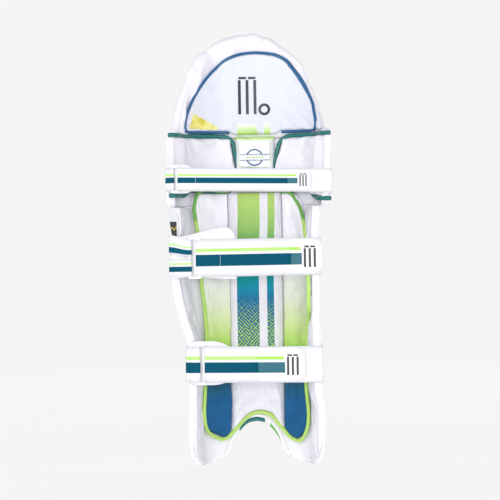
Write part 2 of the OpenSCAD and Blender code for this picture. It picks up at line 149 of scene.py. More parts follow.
HAT_TOP = {
    LEFT: curve([[0, 735], [0.18, 729], [0.29, 721], [0.36, 712], [0.43, 702], [0.47, 694],
                 [0.54, 672], [0.59, 646], [0.66, 624], [0.72, 597], [0.77, 575], [0.84, 562]]),
    RIGHT: curve([[0, 735], [0.15, 726], [0.21, 719], [0.28, 710], [0.34, 698], [0.44, 681],
                  [0.47, 661], [0.51, 646], [0.58, 624], [0.63, 603], [0.68, 585], [0.71, 572],
                  [0.84, 562]]),
}


def side_of(u):
    return LEFT if u < 0 else RIGHT


def half_width(u, z):
    """Half width of the shell at a height; the knee and top hat are wider than the shin."""
    table = SHIN_W if z < KNEE_Z - 1e-6 else KNEE_W
    return table[side_of(u)](z * 1000)


def shin_half(u, z):
    """Half width of the shin, carried on above its top edge."""
    return SHIN_W[side_of(u)](min(z, KNEE_Z - 1e-5) * 1000)


def shell(u, t, z, half=None):
    """Point of the shell: u runs along the section, 0 at the front and 1 at a rear rim; t is depth."""
    side, v = side_of(u), abs(u)
    half = half_width(u, z) if half is None else half
    if v <= FACE_V:
        a = FACE_A * v / FACE_V
        x, y = (FACE_R - t) * math.sin(a), FACE_Y - FACE_R + (FACE_R - t) * math.cos(a)
    else:
        f = (v - FACE_V) / (1 - FACE_V)
        g = 1 - f
        x0 = (FACE_R - t) * math.sin(FACE_A)
        y0 = FACE_Y - FACE_R + (FACE_R - t) * math.cos(FACE_A)
        x3, y3 = half - t, REAR_Y
        x1, y1 = x0 + 0.8 * (x3 - x0), y0 - 0.8 * (x3 - x0) * math.tan(FACE_A)
        y2 = y3 + 0.42 * DEPTH
        x = g ** 3 * x0 + 3 * g * g * f * x1 + 3 * g * f * f * x3 + f ** 3 * x3
        y = g ** 3 * y0 + 3 * g * g * f * y1 + 3 * g * f * f * y2 + f ** 3 * y3
    return Vector((PAD_X + side * x, y, z))


def lining_in(u):
    return mix(LINING_T, WING_T, ease(abs(u), 0.2, FACE_V))


def pad_base(u):
    return lining_in(u) + 1.4 * MM


def hem(u):
    return HEM(abs(u))


def shin_z(u, j):
    """Height of a point of the shin's covers, from just above the hem to just below the knee."""
    return mix(hem(u) + 2 * MM, KNEE_Z - 0.5 * MM, j)


def knee_z(j):
    return mix(KNEE_Z + 1 * MM, HAT_Z - 0.5 * MM, j)


def span(a, b, n):
    """n + 1 even steps from a to b."""
    return [mix(a, b, i / n) for i in range(n + 1)]


def hat_top(u):
    return HAT_TOP[side_of(u)](abs(u)) + 5 * MM * (1 - ease(abs(u), 0.55, 0.84))


def u_at(x, z, depth=8 * MM, half=None):
    """Place along the section where the pad's surface stands x from the pad's middle."""
    side = side_of(x)
    lo, hi = 0.0, 0.99
    for _ in range(24):
        m = (lo + hi) / 2
        if abs(shell(side * m, pad_base(m) + depth, z, half).x - PAD_X) < abs(x):
            lo = m
        else:
            hi = m
    return side * lo


def ripple(p, size, height, seed=0.0):
    """Soft random unevenness of cloth, the same on every run."""
    return height * noise.noise(Vector((p.x / size + seed, p.y / size - seed, p.z / size + 2 * seed)))


# ---------------------------------------------------------------- mesh tools
def make(name, verts, faces, uvs, smooth=True):
    """Mesh object with one UV, in metres, for each point."""
    mesh = bpy.data.meshes.new(name)
    mesh.from_pydata([tuple(v) for v in verts], [], faces)
    layer = mesh.uv_layers.new(name="UVMap")
    for loop in mesh.loops:
        layer.data[loop.index].uv = uvs[loop.vertex_index]
    mesh.polygons.foreach_set("use_smooth", [smooth] * len(mesh.polygons))
    mesh.update()
    obj = bpy.data.objects.new(name, mesh)
    bpy.context.scene.collection.objects.link(obj)
    return obj


def lengths(points):
    run = [0.0]
    for a, b in zip(points, points[1:]):
        run.append(run[-1] + (b - a).length)
    return run


def nearest(run, f):
    """Index of the point nearest to a fraction of the way along."""
    return min(range(len(run)), key=lambda k: abs(run[k] / run[-1] - f))


def slab(name, nu, nz, outer, inner, uv=None, flip=False):
    """Closed solid between two grids of points, each a function of two fractions; flip mirrors it."""
    verts, uvs = [], []
    for skin in (outer, inner):
        rows = [[skin(1 - i / nu if flip else i / nu, j / nz) for j in range(nz + 1)] for i in range(nu + 1)]
        across = lengths([r[nz // 2] for r in rows])
        along = lengths(rows[nu // 2])
        mid = across[nu // 2]
        for i, row in enumerate(rows):
            for j, p in enumerate(row):
                verts.append(p)
                uvs.append(uv(p, i / nu, j / nz) if uv else (across[i] - mid, along[j]))
    side = (nu + 1) * (nz + 1)

    def at(skin, i, j):
        return skin * side + i * (nz + 1) + j
    faces = []
    for i in range(nu):
        for j in range(nz):
            faces.append((at(0, i, j), at(0, i + 1, j), at(0, i + 1, j + 1), at(0, i, j + 1)))
            faces.append((at(1, i, j), at(1, i, j + 1), at(1, i + 1, j + 1), at(1, i + 1, j)))
        faces.append((at(0, i, 0), at(1, i, 0), at(1, i + 1, 0), at(0, i + 1, 0)))
        faces.append((at(0, i, nz), at(0, i + 1, nz), at(1, i + 1, nz), at(1, i, nz)))
    for j in range(nz):
        faces.append((at(0, 0, j), at(0, 0, j + 1), at(1, 0, j + 1), at(1, 0, j)))
        faces.append((at(0, nu, j), at(1, nu, j), at(1, nu, j + 1), at(0, nu, j + 1)))
    return make(name, verts, faces, uvs)


def tube(name, path, wide, deep=None, sides=12, out=None):
    """Round or oval tube along a path. wide and deep may be functions of the fraction run."""
    last = len(path) - 1
    run = lengths(path)
    verts, uvs = [], []
    for i, p in enumerate(path):
        f = run[i] / run[-1]
        t = (path[min(last, i + 1)] - path[max(0, i - 1)]).normalized()
        o = out(i) if out else Vector((p.x - PAD_X, p.y - REAR_Y, 0)).normalized()
        b = t.cross(o).normalized()
        n = b.cross(t)
        w = wide(f) if callable(wide) else wide
        d = w if deep is None else (deep(f) if callable(deep) else deep)
        for k in range(sides):
            a = 2 * math.pi * k / sides
            verts.append(p + n * (d * math.cos(a)) + b * (w * math.sin(a)))
            uvs.append((run[i], k / sides * 2 * math.pi * w))
    faces = []
    for i in range(last):
        for k in range(sides):
            after = (k + 1) % sides
            faces.append((i * sides + k, i * sides + after, (i + 1) * sides + after, (i + 1) * sides + k))
    faces.append(tuple(range(sides - 1, -1, -1)))
    faces.append(tuple(last * sides + k for k in range(sides)))
    return make(name, verts, faces, uvs)


def relax(points, times):
    """Smoothed copy of a list of points, with the same ends."""
    pts = [p.copy() for p in points]
    for _ in range(times):
        pts[1:-1] = [(a + 2 * b + c) / 4 for a, b, c in zip(pts, pts[1:], pts[2:])]
    return pts


def ribbon(name, path, low, high, lift):
    """Band of webbing on edge: path is seen from above, and the band stands from low to high."""
    rows = 6
    run = lengths([Vector((x, y, 0)) for x, y in path])
    normals = []
    for i in range(len(path)):
        ax, ay = path[max(0, i - 1)]
        bx, by = path[min(len(path) - 1, i + 1)]
        d = Vector((bx - ax, by - ay)).normalized()
        normals.append(Vector((-d.y, d.x)))
    ring = []
    for k in range(rows + 1):
        f = k / rows
        ring.append((f, 0.5 if 0 < k < rows else 0.28))
    ring += [(f, -s) for f, s in reversed(ring)]
    verts, uvs = [], []
    for i, (x, y) in enumerate(path):
        for f, s in ring:
            z = mix(low, high, f) + lift(x, f)
            verts.append(Vector((x + normals[i].x * s * WEB_T, y + normals[i].y * s * WEB_T, z)))
            uvs.append((run[i], mix(low, high, f) - (low + high) / 2))
    n = len(ring)
    faces = [(i * n + k, i * n + (k + 1) % n, (i + 1) * n + (k + 1) % n, (i + 1) * n + k)
             for i in range(len(path) - 1) for k in range(n)]
    faces.append(tuple(range(n - 1, -1, -1)))
    faces.append(tuple((len(path) - 1) * n + k for k in range(n)))
    return make(name, verts, faces, uvs)


def stitches(name, path, out, length=2.6 * MM, gap=1.5 * MM, thick=0.45 * MM):
    """Row of thread stitches along a path; out is the way they stand."""
    run = lengths(path)
    count = max(2, int(run[-1] / (length + gap)))
    verts, uvs, faces = [], [], []
    for s in range(count):
        ends = []
        for d in (s * (length + gap), s * (length + gap) + length):
            i = min(len(path) - 2, max(0, bisect_right(run, d) - 1))
            f = (d - run[i]) / max(1e-9, run[i + 1] - run[i])
            ends.append(path[i].lerp(path[i + 1], f))
        a, b = ends
        t = (b - a).normalized()
        n = out.normalized()
        side = t.cross(n).normalized()
        base = len(verts)
        for g, r in ((0.0, 0.35), (0.25, 1.0), (0.75, 1.0), (1.0, 0.35)):
            for k in range(6):
                ang = math.pi * k / 3
                verts.append(a.lerp(b, g) + (n * math.cos(ang) + side * math.sin(ang)) * thick * r)
                uvs.append((g * length, k / 6 * thick))
        for g in range(3):
            for k in range(6):
                p, q = base + g * 6 + k, base + g * 6 + (k + 1) % 6
                faces.append((p, q, q + 6, p + 6))
        faces.append(tuple(base + k for k in range(5, -1, -1)))
        faces.append(tuple(base + 18 + k for k in range(6)))
    return make(name, verts, faces, uvs)


def smooth(obj):
    """Apply one subdivision."""
    m = obj.modifiers.new("smooth", "SUBSURF")
    m.levels = m.render_levels = 1
    m.boundary_smooth = "PRESERVE_CORNERS"
    with bpy.context.temp_override(object=obj, active_object=obj):
        bpy.ops.object.modifier_apply(modifier="smooth")
    return obj


def inflate(obj, pins, pressure, grow, cap):
    """Swell a padded piece as cloth under pressure, sewn down at its pinned points."""
    steps = 16
    rest = [v.co.copy() for v in obj.data.vertices]
    group = obj.vertex_groups.new(name="sewn")
    group.add(pins, 1.0, "REPLACE")
    mod = obj.modifiers.new("cloth", "CLOTH")
    s = mod.settings
    s.quality = 5
    s.mass = 0.25
    s.vertex_group_mass = "sewn"
    s.use_pressure = True
    s.uniform_pressure_force = pressure
    s.shrink_min = -grow
    s.tension_stiffness = s.compression_stiffness = 18
    s.shear_stiffness = 6
    s.bending_stiffness = 0.6
    s.effector_weights.gravity = 0
    mod.collision_settings.use_collision = False
    mod.point_cache.frame_start = 1
    mod.point_cache.frame_end = steps
    scene = bpy.context.scene
    for f in range(1, steps + 1):
        scene.frame_set(f)
    done = obj.evaluated_get(bpy.context.evaluated_depsgraph_get()).data
    moved = [v.co.copy() for v in done.vertices]
    obj.modifiers.remove(mod)
    obj.vertex_groups.clear()
    for v, a, b in zip(obj.data.vertices, rest, moved):
        d = b - a
        if d.length > cap:
            d *= cap / d.length
        v.co = a + d
    scene.frame_set(1)
    obj.data.update()


# ---------------------------------------------------------------- materials
class Nodes:
    """Small helper that builds a procedural material."""

    def __init__(self, name):
        self.mat = bpy.data.materials.new(name)
        self.mat.use_nodes = True
        self.tree = self.mat.node_tree
        self.shader = self.tree.nodes["Principled BSDF"]

    def add(self, kind, **props):
        n = self.tree.nodes.new(kind)
        for k, v in props.items():
            setattr(n, k, v)
        return n

    def link(self, a, b):
        self.tree.links.new(a, b)

    def put(self, socket, value):
        """Link an output to a socket, or set it to a number or a hex colour."""
        if hasattr(value, "is_output"):
            self.link(value, socket)
        else:
            socket.default_value = srgb(value) if isinstance(value, str) else value

    def math(self, op, a, b=0.0, c=None):
        n = self.add("ShaderNodeMath", operation=op)
        self.put(n.inputs[0], a)
        self.put(n.inputs[1], b)
        if c is not None:
            self.put(n.inputs[2], c)
        return n.outputs[0]

    def blend(self, f, a, b):
        n = self.add("ShaderNodeMix", data_type="RGBA")
        self.put(n.inputs["Factor"], f)
        self.put(n.inputs[6], a)
        self.put(n.inputs[7], b)
        return n.outputs[2]

    def stain_and_shade(self, colour, factor, tint):
        """Colour multiplied by a tint, as far as the factor says; used for stains, and for the painted shade
        in the mesh's holes.
        """
        n = self.add("ShaderNodeMix", data_type="RGBA", blend_type="MULTIPLY")
        self.put(n.inputs["Factor"], factor)
        self.put(n.inputs[6], colour)
        n.inputs[7].default_value = tint + (1,)
        return n.outputs[2]

    def wave(self, value, period):
        return self.math("SINE", self.math("MULTIPLY", value, 2 * math.pi / period))

    def cells(self, scale, feature="F1"):
        """Voronoi cells on the object."""
        v = self.add("ShaderNodeTexVoronoi", feature=feature)
        v.inputs["Scale"].default_value = scale
        self.link(self.add("ShaderNodeTexCoord").outputs["Object"], v.inputs["Vector"])
        return v

    def across(self):
        """Millimetres from the pad's middle, and height, as two sockets."""
        x, _, z = self.place()
        return self.math("SUBTRACT", x, PAD_X * 1000), z

    def uv(self):
        """UV in millimetres, as two sockets."""
        c = self.add("ShaderNodeUVMap", uv_map="UVMap")
        s = self.add("ShaderNodeSeparateXYZ")
        self.link(c.outputs[0], s.inputs[0])
        return self.math("MULTIPLY", s.outputs[0], 1000), self.math("MULTIPLY", s.outputs[1], 1000)

    def place(self):
        """Place on the object in millimetres, as three sockets."""
        c = self.add("ShaderNodeTexCoord")
        s = self.add("ShaderNodeSeparateXYZ")
        self.link(c.outputs["Object"], s.inputs[0])
        return [self.math("MULTIPLY", s.outputs[i], 1000) for i in range(3)]

    def noise(self, scale, detail=3):
        n = self.add("ShaderNodeTexNoise")
        n.inputs["Scale"].default_value = scale
        n.inputs["Detail"].default_value = detail
        self.link(self.add("ShaderNodeTexCoord").outputs["Object"], n.inputs["Vector"])
        return n.outputs[0]

    def ramp(self, value, lo, hi, stops):
        """Colour along a value in millimetres; stops gives colours, or shades of grey, by millimetre."""
        m = self.add("ShaderNodeMapRange")
        self.put(m.inputs[0], value)
        m.inputs[1].default_value = lo
        m.inputs[2].default_value = hi
        r = self.add("ShaderNodeValToRGB")
        e = r.color_ramp.elements
        while len(e) < len(stops):
            e.new(0.5)
        for el, (pos, shade) in zip(e, sorted(stops.items())):
            el.position = (pos - lo) / (hi - lo)
            el.color = srgb(shade) if isinstance(shade, str) else (shade, shade, shade, 1)
        self.link(m.outputs[0], r.inputs[0])
        return r.outputs[0]

    def within(self, value, lo, hi, soft=0.25):
        """1 between lo and hi, 0 elsewhere, with soft edges."""
        a = self.math("MULTIPLY_ADD", value, 1 / soft, 0.5 - lo / soft)
        b = self.math("MULTIPLY_ADD", value, -1 / soft, 0.5 + hi / soft)
        n = self.math("MINIMUM", a, b)
        c = self.add("ShaderNodeClamp")
        self.put(c.inputs[0], n)
        return c.outputs[0]

    def bump(self, height, strength, distance=0.3 * MM, under=None):
        n = self.add("ShaderNodeBump")
        n.inputs["Strength"].default_value = strength
        n.inputs["Distance"].default_value = distance
        self.put(n.inputs["Height"], height)
        if under:
            self.link(under, n.inputs["Normal"])
        return n.outputs[0]

    def finish(self, colour, rough, normal=None, sheen=0.0, coat=0.0, specular=0.5):
        s = self.shader
        self.put(s.inputs["Base Color"], colour)
        self.put(s.inputs["Roughness"], rough)
        s.inputs["Sheen Weight"].default_value = sheen
        s.inputs["Coat Weight"].default_value = coat
        s.inputs["Specular IOR Level"].default_value = specular
        if normal is not None:
            self.link(normal, s.inputs["Normal"])
        return self.mat


WHITE = "f6f5fa"
PRINT_WHITE = "f4f4f6"
MESH_PITCH = 4.08
MAZE = 5.8


def mesh_fabric(name="air_mesh", print_colour=None):
    """White air mesh with staggered holes, and a print on it; the shade inside the holes is painted into the
    colour.
    """
    n = Nodes(name)
    x, y = n.uv()
    rise = n.wave(n.math("ADD", x, y), MESH_PITCH)
    fall = n.wave(n.math("SUBTRACT", x, y), MESH_PITCH)
    edge = n.add("ShaderNodeMapRange", interpolation_type="SMOOTHSTEP")
    n.put(edge.inputs[0], n.math("MULTIPLY", rise, fall))
    edge.inputs[1].default_value = 0.15
    edge.inputs[2].default_value = 0.85
    holes = edge.outputs[0]
    colour = n.blend(n.math("MULTIPLY", n.noise(18, 2), 0.25), WHITE, "dcd7ea")
    if print_colour:
        colour = print_colour(n, colour)
    # painted shade: the colour is darkened where the holes are, for the shade inside them
    colour = n.stain_and_shade(colour, n.math("MULTIPLY", holes, 0.75), (0.60, 0.55, 0.70))
    rough = n.math("MULTIPLY_ADD", holes, 0.1, 0.72)
    normal = n.bump(n.math("SUBTRACT", 1.0, holes), 0.55, 0.35 * MM)
    normal = n.bump(n.noise(900, 1), 0.15, 0.2 * MM, normal)
    return n.finish(colour, rough, normal, sheen=0.06, specular=0.25)


def pu(name, colour, rough=0.42, grain=0.25, coat=0.05):
    """Smooth coated fabric with a fine grain, and a little dirt and wear."""
    n = Nodes(name)
    wear = n.noise(30, 4)
    colour = colour(n) if callable(colour) else colour
    colour = n.stain_and_shade(colour, n.math("MULTIPLY", wear, 0.12), (0.78, 0.77, 0.8))
    pores = n.math("MINIMUM", n.cells(850, "DISTANCE_TO_EDGE").outputs["Distance"], 0.2)
    normal = n.bump(pores, grain, 0.15 * MM, n.bump(n.noise(60, 3), 0.12, 0.6 * MM))
    return n.finish(colour, n.math("MULTIPLY_ADD", wear, 0.14, rough - 0.07), normal, coat=coat)


def smooth_fabric(name, print_colour=None, base=WHITE):
    """Close knitted fabric, printed."""
    n = Nodes(name)
    x, y = n.uv()
    knit = n.math("MULTIPLY", n.wave(x, 1.0), n.wave(y, 1.3))
    colour = print_colour(n, base) if print_colour else base
    colour = n.stain_and_shade(colour, n.math("MULTIPLY", n.noise(25, 3), 0.15), (0.8, 0.8, 0.86))
    normal = n.bump(knit, 0.18, 0.2 * MM, n.bump(n.noise(90, 3), 0.15, 0.8 * MM))
    return n.finish(colour, 0.75, normal, sheen=0.04, specular=0.2)


def plain(name, code, rough=0.5, grain=0.2, scale=600):
    """Even material with a fine grain and slight variation of tone."""
    n = Nodes(name)
    dark = tuple(c * 0.82 for c in srgb(code)[:3]) + (1,)
    return n.finish(n.blend(n.noise(40, 3), code, dark), rough, n.bump(n.noise(scale, 3), grain, 0.2 * MM))


def webbing(name, stripes):
    """White webbing; stripes gives the lime and teal bands, in millimetres from its middle."""
    n = Nodes(name)
    x, y = n.uv()
    twill = n.wave(n.math("ADD", x, n.math("MULTIPLY", y, 1.6)), 1.5)
    weft = n.math("MULTIPLY_ADD", n.wave(n.math("SUBTRACT", x, y), 0.9), 0.15, 0.5)
    ribs = n.math("MULTIPLY_ADD", twill, 0.35, weft)
    colour = n.blend(n.math("MULTIPLY", ribs, 0.3), "eeeef2", "dcdae6")
    jag = n.math("MULTIPLY_ADD", n.wave(x, 2.4), 0.25, y)
    for (lo, hi), dark, light in zip(stripes, ("b8f07c", "005068"), ("cbf49a", "005a72")):
        band = n.blend(n.math("MULTIPLY", ribs, 0.35), dark, light)
        colour = n.blend(n.within(jag, lo, hi), colour, band)
    normal = n.bump(ribs, 0.5, 0.3 * MM, n.bump(n.noise(500, 2), 0.2, 0.2 * MM))
    return n.finish(colour, 0.72, normal, specular=0.12)


def tab_plastic(name, stripes, ends):
    """Soft moulded tab: printed bands that stop short of its end."""
    n = Nodes(name)
    x, y = n.uv()
    colour = "ecedf2"
    for (lo, hi), code, end in zip(stripes, ("a6da50", "0a5f70"), ends):
        mask = n.math("MULTIPLY", n.within(y, lo, hi), n.within(x, -50, end, 0.6))
        colour = n.blend(mask, colour, code)
    rough = n.math("MULTIPLY_ADD", n.noise(45, 2), 0.15, 0.36)
    return n.finish(colour, rough, n.bump(n.noise(700, 2), 0.1, 0.1 * MM), specular=0.35)


def face_print(n):
    """White face with one teal and one lime upright stripe, which fades up the pad."""
    x, z = n.across()
    teal = n.ramp(z, 0, 760, {0: "0b6f74", 250: "0d7f86", 420: "3f9a5a", 600: "93c957", 740: "cfe9a8"})
    lime = n.ramp(z, 0, 760, {0: "6db33f", 420: "9bd053", 740: "d9efb4"})
    return n.blend(n.within(x, 23, 41), n.blend(n.within(x, -30, 14), PRINT_WHITE, teal), lime)


def arch_print(n):
    """Ends of the face's stripes at its hem."""
    x, _ = n.across()
    return n.blend(n.within(x, 23, 43), n.blend(n.within(x, -30, 14), PRINT_WHITE, "0b6f74"), "62b32e")


def cord_print(n):
    """Lime cord that turns green by the knee."""
    return n.ramp(n.place()[2], 0, 480, {0: "b4dc6a", 414: "b4dc6a", 420: "73b14d", 480: "66aa4c"})


def side_print(n, colour):
    """Side panels of the bolster fade from white through lime to blue, downwards."""
    return n.ramp(n.place()[2], 40, 470, {
        54: "1a5a8a", 105: "1c6092", 126: "235f84", 140: "285f78", 160: "2f8a84", 182: "8cc862",
        210: "b6dc70", 230: "cce195", 250: "d8e7b2", 280: "e6ebd6", 312: "e9ece4", 345: "f1f1f4",
        400: "f8f6fd"})


def maze(n, x, z):
    """Lines of a random maze, which thin out upwards."""
    u, w = n.math("DIVIDE", x, MAZE), n.math("DIVIDE", z, MAZE)
    cell = n.add("ShaderNodeCombineXYZ")
    n.put(cell.inputs[0], n.math("FLOOR", u))
    n.put(cell.inputs[1], n.math("FLOOR", w))
    coin = n.add("ShaderNodeTexWhiteNoise", noise_dimensions="2D")
    n.link(cell.outputs[0], coin.inputs["Vector"])
    flip = n.math("GREATER_THAN", coin.outputs["Value"], 0.5)
    fu, fw = n.math("FRACT", u), n.math("FRACT", w)
    up = n.math("ABSOLUTE", n.math("SUBTRACT", fu, fw))
    down = n.math("ABSOLUTE", n.math("SUBTRACT", n.math("ADD", fu, fw), 1.0))
    down = n.math("MULTIPLY", down, n.math("SUBTRACT", 1.0, flip))
    d = n.math("ADD", n.math("MULTIPLY", up, flip), down)
    d = n.math("MINIMUM", d, n.math("SUBTRACT", 1.0, d))
    return n.math("LESS_THAN", d, n.ramp(z, 130, 290, {150: 0.25, 225: 0.22, 258: 0.11, 284: 0.0}))


def band_print(n, colour):
    """Middle band: two upright stripes, lime to teal to blue, then broken up by a fine maze."""
    x, z = n.across()
    x = n.math("SUBTRACT", x, n.math("MULTIPLY", n.within(z, 380, 600, 90), 3.2))
    tone = n.ramp(z, 130, 470, {140: "12628a", 250: "166a96", 282: "1f78a4", 299: "1490ae", 316: "04969a",
                                345: "3ba77c", 385: "7cba68", 405: "9fcc70", 425: "b0d776", 455: "b9dc76"})
    tone = n.blend(maze(n, x, z), tone, "b4dc66")
    stripes = n.math("MAXIMUM", n.within(x, -30.7, 7.2), n.within(x, 20.8, 32.7))
    return n.blend(n.math("MULTIPLY", stripes, n.within(z, 147, 480)), colour, tone)


def hat_print(n, colour):
    """Inner pad of the top hat: lime fades in at the foot of the middle."""
    x, z = n.across()
    tone = n.ramp(z, 560, 600, {563: "b5dc75", 571: "cbe69c", 582: "eef2ee"})
    stripes = n.math("MAXIMUM", n.within(x, -26, 8), n.within(x, 20, 31))
    return n.blend(n.math("MULTIPLY", stripes, n.within(z, 560, 583, 1)), colour, tone)


def centre_print(n, colour):
    return n.ramp(n.place()[2], 500, 570, {500: "f6f5fb", 553: "f6f5fb", 557: "c4e68c", 562: "b4dc70"})


def label_finish():
    """Woven label: silver above, black with a small generic yellow zigzag below."""
    n = Nodes("woven_label")
    split = 415
    x, _, z = n.place()
    zig = n.math("ABSOLUTE", n.math("SUBTRACT", n.math("FRACT", n.math("MULTIPLY", x, 0.16)), 0.5))
    off = n.math("ADD", n.math("MULTIPLY", zig, 9), split - 14)
    lower = n.blend(n.within(n.math("SUBTRACT", z, off), -0.8, 0.8), "1c1b20", "d9c53a")
    silver = n.blend(n.noise(60, 2), "c3c6cf", "dfe1e8")
    colour = n.blend(n.math("LESS_THAN", z, split), silver, lower)
    return n.finish(colour, 0.55, n.bump(n.wave(z, 0.7), 0.15, 0.1 * MM))


def hook_finish():
    """Hook tape: a dense field of small stiff loops, with the shade between them painted into the colour."""
    n = Nodes("hook_tape")
    loops = n.cells(900).outputs["Distance"]
    normal = n.bump(n.math("SUBTRACT", 1.0, loops), 0.8, 0.5 * MM)
    # painted shade: the colour darkens away from each loop's top, down between the loops
    return n.finish(n.blend(loops, "d9d9df", "8f8f99"), 0.6, normal)


def facets(n):
    """Faceted yellow of the corner badge."""
    s = n.add("ShaderNodeSeparateColor")
    n.link(n.cells(62).outputs["Color"], s.inputs[0])
    return n.blend(s.outputs[0], "d6c944", "f4ee9a")


def cane_finish():
    n = Nodes("cane_wood")
    joints = n.wave(n.place()[2], 40)
    normal = n.bump(n.math("ADD", n.noise(400, 2), joints), 0.2, 0.2 * MM)
    return n.finish(n.blend(n.noise(120, 4), "c9a466", "a87f45"), 0.5, normal, coat=0.1)


def ring_finish():
    """White moulded plastic with a slight orange-peel."""
    n = Nodes("ring_plastic")
    colour = n.blend(n.noise(50, 2), "eceef2", "dcdfe6")
    return n.finish(colour, 0.32, n.bump(n.noise(260, 2), 0.12, 0.2 * MM), coat=0.2)


MESH = mesh_fabric()
BAND_FABRIC = mesh_fabric("bolster_band_mesh", band_print)
SIDE_FABRIC = smooth_fabric("bolster_side_fabric", side_print)
HAT_FABRIC = smooth_fabric("hat_pad_fabric", hat_print, "dfe2ec")
CENTRE_FABRIC = smooth_fabric("centre_pad_fabric", centre_print)
SOFT_WHITE = smooth_fabric("tongue_fabric", base="ececf1")
PU_WHITE = pu("pu_white", PRINT_WHITE)
PU_FACE = pu("pu_face_print", face_print)
PU_HEM = pu("face_hem_print", arch_print)
PIPE_LIME = pu("piping_lime", cord_print, 0.45, 0.3)
PIPE_TEAL = pu("piping_teal", "0b6b67", 0.42, 0.3)
PIPE_BLUE = pu("piping_blue", "1b5a8b", 0.42, 0.3)
BINDING = pu("binding_white", "f5f4f9", 0.5, 0.2)
YELLOW = pu("badge_yellow", facets, 0.4, 0.1)
THREAD = plain("thread_white", "eceaf2", 0.6, 0.3, 2000)
THREAD_GREY = plain("thread_grey", "b9b6c6", 0.6, 0.3, 2000)
INK = plain("print_dark", "2b2830", 0.45, 0.1)
LIME_INK = plain("print_lime", "b5dd7f", 0.5, 0.05)
BLUE_INK = plain("print_blue", "1d5c8a", 0.5, 0.05)
WHITE_INK = plain("print_white", "f6f6fb", 0.5, 0.05)
LABEL = label_finish()
HOOK = hook_finish()


def dress(obj, material, slot, body="shin", replaces=()):
    """Material, record slot (not used), body and the CAD nodes a piece stands for; pieces of the top hat are
    baked in place, on no body.
    """
    obj.data.materials.clear()
    obj.data.materials.append(material)
    if body == "top_hat":
        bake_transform(obj)
    elif body:
        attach(obj, body)
    if replaces:
        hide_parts(*replaces)
    return obj


def seam(name, path, out, slot="pu_white", body="shin", sizes=()):
    dress(stitches(name, path, out, *sizes), THREAD_GREY, slot, body)


def quilt(x, edges):
    """Puff of a quilted cover between two neighbouring seams."""
    for a, b in zip(edges, edges[1:]):
        if x <= b:
            return crown((x - a) / (b - a)) ** 0.5
    return 0.0


# ---------------------------------------------------------------- shin face, on the outer side
CANES = 7
CANE_STEP = math.radians(9)
RIB_H = 3.4 * MM


def cane_rib(u, z):
    """Height of the cane channels above the face."""
    a = FACE_A * u / FACE_V
    k = round(a / CANE_STEP)
    if abs(k) > CANES // 2:
        return 0.0
    f = abs(a / CANE_STEP - k) * 2
    ends = ease(z, hem(u) + 0.004, hem(u) + 0.022)
    return (RIB_H * math.sqrt(max(0.0, 1 - f ** 2.6)) - 0.6 * MM) * ends


def face_cover():
    edge = FACE_V + 0.01

    def outer(i, j):
        u = mix(-edge, edge, i)
        z = shin_z(u, j)
        p = shell(u, 0, z)
        return shell(u, -cane_rib(u, z) + ripple(p, 0.03, 0.5 * MM), z)

    def inner(i, j):
        u = mix(-edge, edge, i)
        return shell(u, lining_in(u) - 2.2 * MM, shin_z(u, j))
    obj = slab("shin_face", 168, 110, outer, inner)
    dress(obj, PU_FACE, "pu_white", replaces=("front_face", "face_backing"))
    for k in range(-(CANES // 2) - 1, CANES // 2 + 1):
        u = (k + 0.5) * CANE_STEP / FACE_A * FACE_V
        path = [shell(u, 0.35 * MM, z) for z in span(hem(u) + 0.02, KNEE_Z - 0.012, 60)]
        seam(f"face_seam_{k + CANES // 2 + 2}", path, Vector((0, 1, 0)))


def wing_cover(side, name):
    """Outer cover of a shin wing, quilted by three lines of stitches."""
    lines = [0.52, 0.7, 0.86]
    edges = [FACE_V] + lines + [1.0]

    def outer(i, j):
        u = side * mix(FACE_V, 0.992, i)
        z = shin_z(u, j)
        p = shell(u, 0, z)
        v = abs(u)
        t = 1.4 * MM - 1.5 * MM * quilt(v, edges) + ripple(p, 0.035, 0.9 * MM, side)
        t += 3 * MM * ease(v, 0.95, 1)
        return shell(u, t, z)

    def inner(i, j):
        u = side * mix(FACE_V, 0.992, i)
        return shell(u, 6 * MM, shin_z(u, j))
    obj = slab(f"{name}_wing_outer", 60, 90, outer, inner, flip=side < 0)
    dress(obj, PU_WHITE, "pu_white", replaces=(f"{name}_wing_cover", f"{name}_wing_foam"))
    for k, v in enumerate(lines):
        path = [shell(side * v, 0.9 * MM, z) for z in span(hem(v) + 0.012, KNEE_Z - 0.004, 60)]
        seam(f"{name}_wing_seam_{k + 1}", path, Vector((side, 0, 0)))


